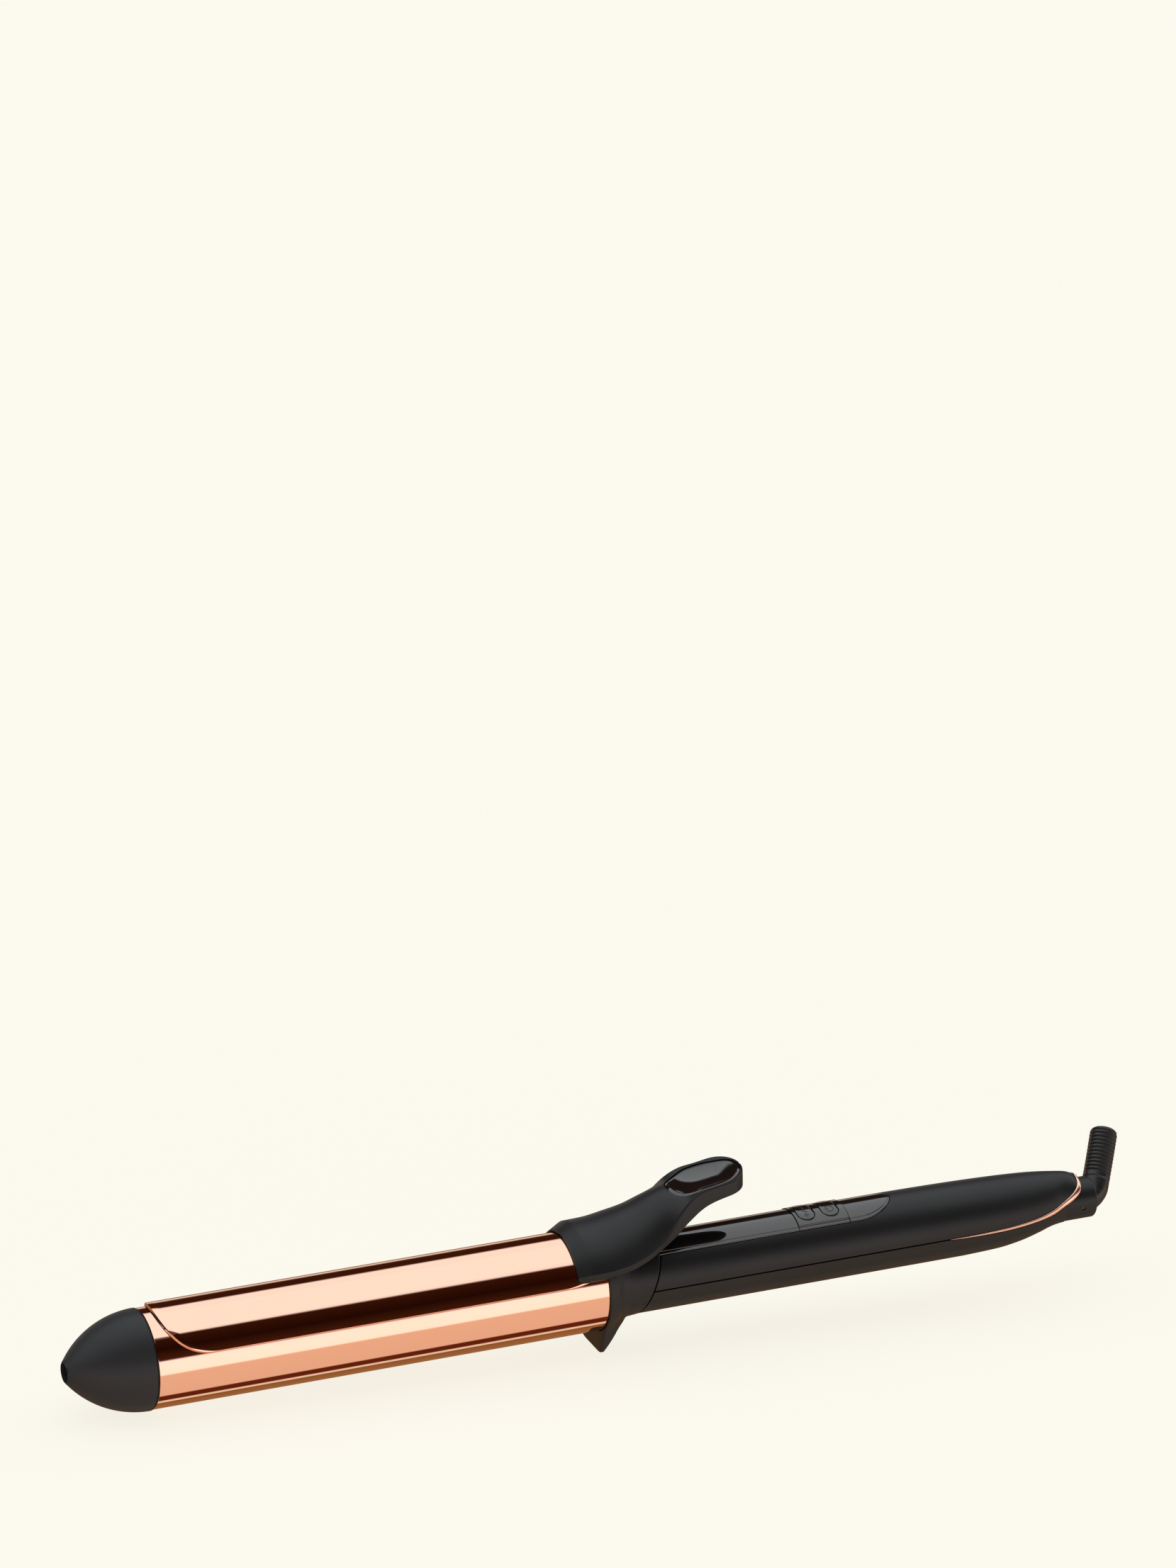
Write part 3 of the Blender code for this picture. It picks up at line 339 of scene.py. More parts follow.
def finish_piece(obj, material, body, nodes, sharp=32):
    """Shade a piece, give it its material, and tie it to its body and CAD nodes."""
    obj.data.shade_smooth()
    obj.data.set_sharp_from_angle(angle=math.radians(sharp))
    obj.data.materials.clear()
    obj.data.materials.append(finish(material))
    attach(obj, body)
    if nodes:
        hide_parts(*nodes)
    return obj


def sheet_piece(name, grid_sets, wall, rounding):
    """Open surfaces given a wall on their inner side and rounded edges."""
    obj = link(name, mesh_of(name, grid_sets))
    modify(obj, "SOLIDIFY", thickness=wall, offset=-1, use_quality_normals=True)
    if rounding:
        modify(
            obj,
            "BEVEL",
            width=rounding,
            segments=3,
            limit_method="ANGLE",
            angle_limit=math.radians(50),
        )
    settle(obj)
    return obj


# ------------------------------------------------------------------ finishes

FINISHES = {}


def finish(name):
    """A material by name, made once."""
    if name not in bpy.data.materials:
        FINISHES[name](bpy.data.materials.new(name))
    return bpy.data.materials[name]


def finish_maker(name):
    """Register the function that fills in a material."""

    def keep(function):
        FINISHES[name] = function
        return function

    return keep


class Nodes:
    """Short calls for building a material's nodes."""

    def __init__(self, material):
        material.use_nodes = True
        self.tree = material.node_tree
        self.shader = self.tree.nodes["Principled BSDF"]
        self.place = self.add("ShaderNodeTexCoord").outputs["Object"]

    def add(self, kind, **values):
        """Add a node and set its values."""
        node = self.tree.nodes.new(kind)
        for key, value in values.items():
            setattr(node, key, value)
        return node

    def join(self, source, target):
        """Link two sockets."""
        self.tree.links.new(source, target)

    def noise(self, scale, detail=4.0, stretch=(1, 1, 1)):
        """Noise over object space, with the given scale per metre."""
        place = self.place
        if stretch != (1, 1, 1):
            mapping = self.add("ShaderNodeMapping")
            mapping.inputs["Scale"].default_value = stretch
            self.join(self.place, mapping.inputs["Vector"])
            place = mapping.outputs["Vector"]
        noise = self.add("ShaderNodeTexNoise")
        noise.inputs["Scale"].default_value = scale
        noise.inputs["Detail"].default_value = detail
        self.join(place, noise.inputs["Vector"])
        return noise.outputs["Fac"]

    def spread(self, source, low, high):
        """Send a 0 to 1 value to the roughness as a range."""
        mapped = self.add("ShaderNodeMapRange")
        mapped.inputs["From Min"].default_value = 0.3
        mapped.inputs["From Max"].default_value = 0.7
        mapped.inputs["To Min"].default_value = low
        mapped.inputs["To Max"].default_value = high
        self.join(source, mapped.inputs["Value"])
        self.join(mapped.outputs["Result"], self.shader.inputs["Roughness"])

    def tint(self, source, dark, light):
        """Blend two colours by a value into the base colour."""
        ramp = self.add("ShaderNodeValToRGB")
        ramp.color_ramp.elements[0].position = 0.3
        ramp.color_ramp.elements[0].color = (*dark, 1)
        ramp.color_ramp.elements[1].position = 0.7
        ramp.color_ramp.elements[1].color = (*light, 1)
        self.join(source, ramp.inputs["Fac"])
        self.join(ramp.outputs["Color"], self.shader.inputs["Base Color"])

    def bumps(self, source, strength, distance):
        """Send a value to the normal as a bump."""
        bump = self.add("ShaderNodeBump")
        bump.inputs["Strength"].default_value = strength
        bump.inputs["Distance"].default_value = distance
        self.join(source, bump.inputs["Height"])
        self.join(bump.outputs["Normal"], self.shader.inputs["Normal"])

    def set(self, **values):
        """Set the shader's inputs, with _ for a space in a name."""
        for key, value in values.items():
            self.shader.inputs[key.replace("_", " ")].default_value = value


# A warm tint that keeps the sheen of the black plastics neutral under the studio's cool bands.
NEUTRAL_SHEEN = (1.0, 0.91, 0.85, 1.0)


def scaled(rgb, factor):
    """A colour made lighter or darker, kept within range."""
    return tuple(min(1.0, c * factor) for c in rgb)


@finish_maker(ROSE_GOLD)
def rose_gold_finish(material):
    """Mirror plating of the barrel and the clip."""
    polish = colours().polish
    plating(material, polish * 0.8, polish * 1.3)


@finish_maker("satin_gold_finish")
def satin_gold_finish(material):
    """The trim's plating: the barrel's colour with a softer polish."""
    plating(material, 0.24, 0.30)


def plating(material, low, high):
    """Rose-gold plating with a hair of cloudiness in its colour and its polish."""
    nodes = Nodes(material)
    base = tuple(colours().rose_gold)
    nodes.set(Metallic=1.0)
    nodes.tint(nodes.noise(60, 3), scaled(base, 0.985), base)
    nodes.spread(nodes.noise(420, 5, (0.25, 1, 1)), low, high)


def moulded_finish(name, base, low, high, grain, depth):
    """Register a moulded plastic: grain as a bump, flow marks in the roughness, faint mottling."""

    @finish_maker(name)
    def make(material):
        nodes = Nodes(material)
        nodes.set(Specular_IOR_Level=0.34)
        nodes.set(Specular_Tint=NEUTRAL_SHEEN)
        shade = tuple(getattr(colours(), base)) if isinstance(base, str) else base
        nodes.tint(nodes.noise(45, 4, (0.4, 1, 1)), scaled(shade, 0.92), scaled(shade, 1.08))
        nodes.spread(nodes.noise(90, 5, (0.3, 1, 1)), low, high)
        nodes.bumps(nodes.noise(grain, 3), depth, 0.0002)


moulded_finish(SOFT_BLACK, "soft_black", 0.40, 0.47, 3200, 0.05)
moulded_finish("tip_plastic_finish", "tip_black", 0.46, 0.54, 2600, 0.07)
moulded_finish("inner_plastic_finish", (0.05, 0.05, 0.052), 0.50, 0.60, 2200, 0.05)


@finish_maker(GLOSS_BLACK)
def gloss_black_finish(material):
    """Polished black plastic with a trace of polishing haze."""
    nodes = Nodes(material)
    base = tuple(colours().gloss_black)
    nodes.set(Specular_IOR_Level=0.98)
    nodes.set(Specular_Tint=NEUTRAL_SHEEN)
    nodes.tint(nodes.noise(70, 3), scaled(base, 0.9), scaled(base, 1.1))
    nodes.spread(nodes.noise(160, 5), 0.05, 0.085)


@finish_maker("rubber_finish")
def rubber_finish(material):
    """Satin rubber of the strain relief, with a fine bloom."""
    nodes = Nodes(material)
    nodes.set(Specular_Tint=NEUTRAL_SHEEN)
    base = tuple(colours().rubber_black)
    nodes.tint(nodes.noise(260, 4), scaled(base, 0.85), scaled(base, 1.2))
    nodes.spread(nodes.noise(500, 4), 0.30, 0.40)
    nodes.bumps(nodes.noise(3000, 3), 0.04, 0.0002)


@finish_maker("mark_finish")
def mark_finish(material):
    """The grey of the signs on the buttons."""
    nodes = Nodes(material)
    base = tuple(colours().mark_grey)
    nodes.tint(nodes.noise(900, 3), scaled(base, 0.92), scaled(base, 1.08))
    nodes.spread(nodes.noise(900, 3), 0.32, 0.42)


def metal_finish(name, base, low, high):
    """Register a bare metal whose roughness runs in fine lines along the iron."""

    @finish_maker(name)
    def make(material):
        nodes = Nodes(material)
        nodes.set(Metallic=1.0)
        nodes.tint(nodes.noise(120, 3), scaled(base, 0.93), base)
        nodes.spread(nodes.noise(900, 4, (0.05, 1, 1)), low, high)


metal_finish("steel_finish", (0.56, 0.55, 0.53), 0.22, 0.34)
metal_finish("brass_finish", (0.80, 0.58, 0.24), 0.20, 0.32)
metal_finish("aluminium_finish", (0.78, 0.78, 0.79), 0.30, 0.45)


def plain_finish(name, base, low, high, grain):
    """Register a simple mottled finish for a part inside the iron."""

    @finish_maker(name)
    def make(material):
        nodes = Nodes(material)
        nodes.tint(nodes.noise(300, 4), scaled(base, 0.85), scaled(base, 1.1))
        nodes.spread(nodes.noise(400, 4), low, high)
        nodes.bumps(nodes.noise(grain, 3), 0.05, 0.0002)


plain_finish("ceramic_finish", (0.84, 0.81, 0.75), 0.60, 0.75, 1500)
plain_finish("film_finish", (0.58, 0.40, 0.12), 0.25, 0.40, 900)
plain_finish("board_finish", (0.02, 0.17, 0.07), 0.35, 0.50, 1200)
plain_finish("red_sleeve_finish", (0.40, 0.02, 0.015), 0.40, 0.50, 1500)
plain_finish("blue_sleeve_finish", (0.02, 0.06, 0.34), 0.40, 0.50, 1500)

SLOT_FINISHES = {
    "rose_gold_barrel": ROSE_GOLD,
    "rose_gold_steel": ROSE_GOLD,
    "rose_gold_trim": ROSE_GOLD,
    "tip_plastic": "tip_plastic_finish",
    "black_soft": SOFT_BLACK,
    "black_gloss": GLOSS_BLACK,
    "rubber": "rubber_finish",
    "steel": "steel_finish",
    "aluminium": "aluminium_finish",
    "heater_ceramic": "ceramic_finish",
    "insulator": "film_finish",
    "board": "board_finish",
    "inner_plastic": "inner_plastic_finish",
    "wire_red": "red_sleeve_finish",
    "wire_blue": "blue_sleeve_finish",
    "brass": "brass_finish",
}


# ------------------------------------------------------------------ barrel and tip


class IRON_OT_barrel(Operator):
    """Build the barrel: a tube turned from a rounded wall section"""

    bl_idname = "iron.barrel"
    bl_label = "Barrel"

    def execute(self, context):
        outside = sizes().barrel_radius * 1000
        inside = outside - 0.8
        rear = 0.9
        wall = [(-BARREL_LENGTH, outside), (rear, outside), (rear, inside), (-BARREL_LENGTH, inside)]
        tube = revolve(fillet(wall, 0.25), steps=256)
        obj = link("polished_barrel", mesh_of("polished_barrel", [(tube, True, True)]))
        finish_piece(obj, ROSE_GOLD, "housing", ["barrel_tube"])
        return {"FINISHED"}


def tip_outline():
    """The cool tip's section: a circular arc from the base to a small end ring."""
    base = -BARREL_LENGTH - GAP
    span = 25.0
    arc = 32.0
    wide = sizes().tip_radius * 1000
    narrow = 3.9
    fall = arc - math.sqrt(arc**2 - span**2)
    back = np.linspace(0.5, span - 0.3, 70)
    radius = wide - (arc - np.sqrt(arc**2 - back**2)) * (wide - narrow) / fall
    outer = np.stack([base - back, radius], 1)
    base_edge = fillet([(base - 0.5, wide), (base, wide), (base, 15.2), (base - 0.5, 15.2)], 0.35)[5:10]
    lip = np.array([(-0.10, 3.86), (0.0, 3.74), (0.02, 3.6), (0.0, 3.46), (-0.14, 3.36), (-0.5, 3.3)])
    lip[:, 0] += base - span
    bore = np.array([(-162.0, 3.3), (-162.0, 1.8), (-160.0, 1.8), (-160.0, 9.0), (base - 1.2, 12.6)])
    spigot = np.array([(base + 9, 12.7), (base + 9, 14.9), (base + 0.1, 14.9)])
    return np.concatenate([base_edge, outer, lip, bore, spigot])


class IRON_OT_cool_tip(Operator):
    """Build the cool tip: a pointed arch turned about the axis, with a hole in its end"""

    bl_idname = "iron.cool_tip"
    bl_label = "Cool tip"

    def execute(self, context):
        nose = revolve(tip_outline(), steps=192)
        obj = link("moulded_cool_tip", mesh_of("moulded_cool_tip", [(nose, True, True)]))
        finish_piece(obj, "tip_plastic_finish", "housing", ["cool_tip"], sharp=40)
        return {"FINISHED"}


# ------------------------------------------------------------------ clip and lever


def clip_grid(grow, radius):
    """A cylinder patch whose front edge is a half superellipse and whose rear corners are round.

    Across the iron the angle goes from one side to the other. At each angle the
    plate runs straight from its front edge to its rear edge. The rear edge runs
    straight across and follows a quarter ellipse at the sides. All edges move
    out by grow.
    """
    half = CLIP_HALF_ANGLE
    side = half * np.sin(np.linspace(0, math.pi / 2, 80))
    angle = np.concatenate([-side[:0:-1], side])
    bend = np.clip(np.abs(angle) / half, 0, 1) ** 2.4
    front = CLIP_FRONT_X + 15 * (1 - np.sqrt(1 - bend)) - grow
    bend = np.clip((np.abs(angle) - 46) / (half - 46), 0, 1)
    rear = -1.2 - 12 * (1 - np.sqrt(1 - bend**2)) + grow
    run = np.linspace(0, 1, 60)[:, None]
    x = front + run * (rear - front)
    a = np.radians(angle * (1 + math.degrees(grow / radius) / half))[None, :] + 0 * run
    return np.stack([x, -radius * np.sin(a), radius * np.cos(a)], -1)


def clip_radius():
    """The clip plate's outer radius, just clear of the barrel."""
    return sizes().barrel_radius * 1000 + GAP + sizes().clip_sheet * 1000


class IRON_OT_clip(Operator):
    """Build the spring clip: a thin curved tongue whose cut edge slopes out towards the barrel"""

    bl_idname = "iron.clip"
    bl_label = "Clip plate"

    def execute(self, context):
        outside = clip_radius()
        face = clip_grid(-0.3, outside)
        shoulder = clip_grid(-0.26, outside - 0.02)
        under = clip_grid(0.05, outside - sizes().clip_sheet / MM)
        patches = [(face, False, False), (under, False, False)]
        for a, b in ((face, shoulder), (shoulder, under)):
            patches += loft(a, b)[2:]
        obj = link("spring_clip", mesh_of("spring_clip", patches))
        finish_piece(obj, ROSE_GOLD, "clip", ["clip_plate"], sharp=38)
        return {"FINISHED"}


LEVER_X = (-6.3, 0, 6.3, 12.2, 17.8, 23.5, 28.6, 35.1, 40.1, 47.3, 52)
LEVER_LOW = (8.4, 8.6, 9.2, 10.5, 12.8, 16.0, 20.1, 24.1, 25.6, 26.9, 27.3)
LEVER_WIDTH_X = (-6.3, 0, 6.3, 12.2, 17.8, 23.5, 28.6, 33, 38, 42)
LEVER_WIDTH = (18.1, 18.05, 17.6, 16.4, 14.9, 13.1, 11.6, 10.7, 10.3, 10.2)
LEVER_TOP_X = (-6.3, 0, 8, 13, 19, 26, 31, 38, 45, 52)
LEVER_TOP = (20.2, 20.4, 21.9, 23.2, 25.7, 28.3, 29.0, 29.9, 31.1, 32.3)


def lever_half_width(x):
    """The lever in plan: a waist behind the collar and a round rear end."""
    back = np.clip((x - LEVER_TURN_X) / (LEVER_END_X - LEVER_TURN_X), 0, 1)
    return smooth(x, LEVER_WIDTH_X, LEVER_WIDTH) * np.sqrt(np.maximum(0.0, 1 - back**2.4))


def lever_front(x):
    """How far the front bevel has drawn the section in: 1 on the body, less in front."""
    return 1 - 0.11 * np.clip((-6.3 - x) / 4.2, 0, 1)


def lever_outer(x, s):
    """The lever's outer face, for x along it and s from -1 to 1 across.

    In front the section is a circular arch. It turns into a dished tab: a
    parabola between two raised rims, with sides that fall on a quarter curve.
    Near the lower edge the arch leans inwards as a narrow bevel.
    """
    draw = lever_front(x)
    low = smooth(x, LEVER_X, LEVER_LOW) * draw
    top = smooth(x, LEVER_TOP_X, LEVER_TOP) * draw
    width = lever_half_width(x) * draw
    flat = ease((x - 19) / 17)
    a = np.abs(s)
    arch_y = width * np.sin(s * ARCH) / math.sin(ARCH)
    fall = (np.cos(s * ARCH) - math.cos(ARCH)) / (1 - math.cos(ARCH))
    arch_z = low + (top - low) * fall
    bevel = np.clip((a - 0.915) / 0.085, 0, 1) * (1 - flat)
    arch_y = arch_y - np.sign(s) * bevel * 1.15 * draw
    lip = np.clip((a - 0.8) / 0.2, 0, 1)
    rim = width * 0.9
    tab_y = np.sign(s) * (np.minimum(a / 0.8, 1) * rim + (width - rim) * np.sqrt(lip))
    dish = 2.0 * (1 - np.minimum(a / 0.8, 1) ** 2) * (1 - 0.9 * ease((x - 42.5) / 7))
    tab_z = top - dish - (top - low) * lip**2
    y = arch_y * (1 - flat) + tab_y * flat
    z = arch_z * (1 - flat) + tab_z * flat
    return y, z


def lever_inner(x, s):
    """The lever's inner face: an arch that clears the clip, then a shallow belly."""
    inside = clip_radius() + GAP
    low = smooth(x, LEVER_X, LEVER_LOW)
    top = smooth(x, LEVER_TOP_X, LEVER_TOP)
    width = lever_half_width(x)
    flat = ease((x - 19) / 17)
    behind = np.clip(x / 6, 0, 1)
    wall = 20 - inside + (2.2 - 20 + inside) * behind
    edge = inside * math.cos(ARCH) * (1 - behind) + low * behind
    fall = (np.cos(s * ARCH) - math.cos(ARCH)) / (1 - math.cos(ARCH))
    shrink = np.where(behind > 0, 0.35 * behind, 0)
    arch_y = (width - wall - shrink) * np.sin(s * ARCH) / math.sin(ARCH)
    arch_z = edge + (top - wall - edge) * fall
    arch_y = np.where(x < 0, inside * np.sin(s * ARCH), arch_y)
    arch_z = np.where(x < 0, inside * np.cos(s * ARCH), arch_z)
    tab_y = (width - np.minimum(1.0, width * 0.3)) * s
    tab_z = low - 1.3 * np.minimum(1.0, width / 10.5) * (1 - s * s)
    return arch_y * (1 - flat) + tab_y * flat, arch_z * (1 - flat) + tab_z * flat


def lever_height(x, y):
    """The height of the lever's outer face over points (x, y)."""
    s = np.linspace(0, 0.93, 240)
    heights = np.empty(x.shape)
    for index in np.ndindex(x.shape):
        ys, zs = lever_outer(np.full(s.shape, x[index]), s)
        heights[index] = np.interp(abs(y[index]), ys, zs)
    return heights


def oval(grow, rings, spokes):
    """Polar points over the superellipse of the thumb rest, with each point's share of its reach."""
    centre, half_length, half_width = INSET
    share = np.sin(np.linspace(0, math.pi / 2, rings))[:, None]
    a = np.linspace(0, math.tau, spokes, endpoint=False)[None, :]
    along, across = (np.sign(part) * np.abs(part) ** 0.86 for part in (np.cos(a), np.sin(a)))
    x = centre + share * (half_length + grow) * along
    y = share * (half_width + grow) * across
    return x, y, share + 0 * a


def oval_patches(grow, low, high, rings=16, spokes=96):
    """A solid over the oval, between two offsets from the lever's face."""
    x, y, _ = oval(grow, rings, spokes)
    face = lever_height(x, y)
    under = np.stack([x, y, face + low], -1)
    over = np.stack([x, y, face + high], -1)
    return disc_solid(over, under)


class IRON_OT_lever(Operator):
    """Build the thumb lever: a saddle in front, a dished tab behind, with a recess for the rest"""

    bl_idname = "iron.lever"
    bl_label = "Lever"

    def execute(self, context):
        s = np.sin(np.linspace(-math.pi / 2, math.pi / 2, 121))
        body = np.linspace(-6.3, LEVER_TURN_X, 130)
        turn = np.sin(np.radians(np.linspace(0, 86, 50)[1:]))
        end = LEVER_TURN_X + (LEVER_END_X - LEVER_TURN_X) * turn
        x = np.concatenate([[-10.5, -10.35, -9, -8, -7, -6.6, -6.4], body, end])[:, None]
        x, s = np.broadcast_arrays(x, s[None, :])
        grids = []
        for face in (lever_outer, lever_inner):
            y, z = face(x, s)
            grids.append(np.stack([x, -y, z], -1))
        obj = link("thumb_lever", mesh_of("thumb_lever", loft(*grids)))
        carve(obj, oval_patches(GAP, -1.0, 5))
        finish_piece(obj, SOFT_BLACK, "clip", ["lever"], sharp=38)
        self.build_rest()
        return {"FINISHED"}

    def build_rest(self):
        """The glossy thumb rest: it follows the dish and rolls over at its edge."""
        x, y, share = oval(0, 40, 160)
        face = lever_height(x, y)
        roll = np.clip((share - 0.93) / 0.07, 0, 1)
        bead = 0.16 * np.exp(-(((share - 0.925) / 0.022) ** 2))
        over = np.stack([x, y, face + bead - 0.05 - 0.45 * (1 - np.sqrt(1 - roll**2))], -1)
        under = np.stack([x, y, face - 0.7], -1)
        obj = link("thumb_rest", mesh_of("thumb_rest", disc_solid(over, under)))
        finish_piece(obj, GLOSS_BLACK, "clip", ["thumb_inset"])


# ------------------------------------------------------------------ collar and foot


def foot_reach(x, a):
    """How far the stand foot reaches from the axis, in direction a from straight down.

    The foot is a wedge: at each x it is a trapezoid, cut level below. The result
    is the nearer of the level cut and the sloping side, blended by a power mean.
    """
    sole = np.interp(x, [0, 1.1, 7.3, 9.0], [22.4, 22.45, 11.9, 6.0])
    side = np.abs(np.sin(a))
    down = np.maximum(np.cos(a), 0.02)
    level = sole / down
    spread = np.interp(x, [0, 9], [3.6, -0.6])
    edge = (8.2 + spread * (1 + 12 / 10.4)) / np.maximum(side + spread / 10.4 * down, 0.05)
    near = (level**-18.0 + edge**-18.0) ** (-1 / 18)
    return np.where(np.cos(a) > 0.1, near, 0.0)


def soft_max(a, b, reach):
    """The larger of two values, with a rounded joint where they are within reach."""
    close = np.maximum(reach - np.abs(a - b), 0) / reach
    return np.maximum(a, b) + close**2 * reach / 4


def collar_radius(x, a):
    """The collar's outer radius: a flare at the barrel, the handle's radius behind.

    The foot is merged in by a soft maximum, which leaves a fillet, and a fine
    ring groove marks where the moulding is joined.
    """
    flare = smooth(x, (0.3, 3, 6, 9.5, 13, 22), (16.9, 15.7, 13.9, 12.75, 12.35, HANDLE_R))
    merged = soft_max(flare, foot_reach(x, a), np.interp(x, [0, 7], [1.2, 3.4]))
    groove = 0.07 * np.exp(-(((x - 8.6) / 0.16) ** 2)) * (np.cos(a) < 0.75)
    return merged - groove


def collar_patches():
    """The collar as rings of points from its bore, over its front face, to its rear step."""
    a = math.pi * np.linspace(0, 1, 170)
    a = np.concatenate([a, math.tau - a[-2:0:-1]])
    bore = revolve_angles(np.array([(1.3, 7.2), (1.3, 16.15), (0.15, 16.15), (0.0, 16.3)]), a)
    front = collar_radius(np.full(a.shape, 0.35), a)
    rows = []
    for x, inset in ((0.0, 0.36), (0.03, 0.2), (0.12, 0.08), (0.22, 0.02)):
        rows.append(ring_points(np.full(a.shape, x), front - inset, a))
    rear = SHELL_FRONT_X - 0.35 + SHELL_SLOPE * (HANDLE_Z - 12.2 * np.cos(a))
    share = np.concatenate([np.linspace(0, 0.5, 90), np.linspace(0.5, 1, 30)[1:]])
    for part in share:
        x = 0.35 + part * (rear - 0.65)
        rows.append(ring_points(x, collar_radius(x, a), a))
    for extra, drop in ((-0.2, 0.02), (-0.07, 0.08), (0.0, 0.2), (0.0, 1.95)):
        rows.append(ring_points(rear + extra, HANDLE_R - drop + 0 * a, a))
    tail = [(22.6, 10.2), (22.6, 7.2)]
    grid = np.concatenate([bore, np.array(rows), revolve_angles(np.array(tail), a)])
    return [(grid, True, True)]


def ring_points(x, radius, a):
    """A ring whose centre slips from the barrel's axis to the handle's along x."""
    return np.stack([x, -radius * np.sin(a), HANDLE_Z * ease((x - 4) / 8) - radius * np.cos(a)], -1)


def revolve_angles(profile, a):
    """(x, radius) rings at given angles from straight down."""
    x = np.repeat(profile[:, :1], len(a), 1)
    y = -profile[:, 1:] * np.sin(a)
    z = -profile[:, 1:] * np.cos(a)
    return np.stack([x, y, z], -1)


def block(low, high):
    """The patches of a box between two corners."""
    x0, y0, z0 = low
    x1, y1, z1 = high
    ring = np.array([(y0, z0), (y1, z0), (y1, z1), (y0, z1)], float)
    rows = []
    for x, size in ((x0, 0.0), (x0, 1.0), (x1, 1.0), (x1, 0.0)):
        middle = ring.mean(0)
        at = middle + (ring - middle) * size
        rows.append(np.column_stack([np.full(4, x), at]))
    return [(np.array(rows), False, True)]


class IRON_OT_collar(Operator):
    """Build the collar and its stand foot as one moulding"""

    bl_idname = "iron.collar"
    bl_label = "Collar and foot"

    def execute(self, context):
        obj = link("collar_and_foot", mesh_of("collar_and_foot", collar_patches()))
        carve(obj, block((2.4, -9.4, 8.3), (13.6, 9.4, 20)))
        finish_piece(obj, SOFT_BLACK, "housing", ["collar"], sharp=40)
        return {"FINISHED"}


# ------------------------------------------------------------------ handle


def handle_sizes(x):
    """Half-width, height above and depth below the handle's axis, and that axis."""
    wide_x = (110, 125, 138, 149, 156, 161.5, 167, 170)
    width = smooth(x, wide_x, (12.25, 12.1, 11.6, 10.6, 9.2, 7.5, 7.1, 7.0))
    top_x = (100, 118, 135, 150, 160, 164, 166.2, 168.4)
    top = smooth(x, top_x, (11.65, 11.4, 11.0, 10.4, 9.5, 8.8, 7.9, 6.6))
    low = smooth(x, (126, 138, 146, 152, 157.5, 162), (12.85, 12.4, 11.2, 9.5, 7.9, 7.65))
    axis = HANDLE_Z - 0.4 * np.clip((x - 126) / 35, 0, 1)
    return width, top - axis, low + axis, axis


def handle_points(x, angle, lift=0.0):
    """Points on the handle's skin. The section is a half-ellipse above and one below.

    The angle is in degrees from the +Y side, up over the top.
    """
    width, rise, drop, axis = handle_sizes(x)
    a = np.radians(angle)
    height = np.where(np.sin(a) > 0, rise, drop)
    return np.stack([x, (width + lift) * np.cos(a), axis + (height + lift) * np.sin(a)], -1)


def trim_angle(x, edge):
    """The angle of a trim edge at x: a quarter superellipse from the seam to the top, less a sag."""
    span, power, sag = edge
    u = np.clip((x - TRIM_START_X) / span, 0, 1)
    climb = 1 - (1 - u**power) ** (1 / power)
    return SEAM_ANGLE + (90 - SEAM_ANGLE) * climb - 4 * sag * u * (1 - u)


def panel_edge(x, grow=0.0):
    """The panel's half-angle from the top at x: straight sides, then a half-ellipse."""
    nose = PANEL_END_X - PANEL_NOSE
    u = np.clip((x - nose) / (PANEL_NOSE + grow), 0, 1)
    half = (PANEL_HALF + grow) * np.sqrt(1 - u**2)
    return np.degrees(np.arcsin(np.clip(half / (sizes().handle_radius * 1000), 0, 1)))


def lean_front(grid):
    """Slide the first few millimetres of a shell so that its front edge leans."""
    blend = np.clip((SHELL_FRONT_X + 5 - grid[..., 0]) / 5, 0, 1)
    grid[..., 0] += SHELL_SLOPE * grid[..., 2] * blend
    return grid


def shell_stations(end):
    """Stations along a shell, close together at the panel's nose and at the tail."""
    nose = PANEL_END_X - PANEL_NOSE
    around = nose + PANEL_NOSE * np.sin(np.linspace(0, math.pi / 2, 40))
    parts = [
        np.linspace(SHELL_FRONT_X, SHELL_FRONT_X + 5, 8),
        np.linspace(SHELL_FRONT_X + 6, nose - 1, 40),
        around,
        np.linspace(PANEL_END_X + 0.6, TRIM_START_X - 0.5, 12),
        TRIM_START_X + 12 * np.linspace(0, 1, 40) ** 2,
        np.linspace(TRIM_START_X + 13, end - 6, 60),
        end - 6 + 6 * np.sin(np.linspace(0, math.pi / 2, 26))[1:],
    ]
    return np.concatenate(parts)


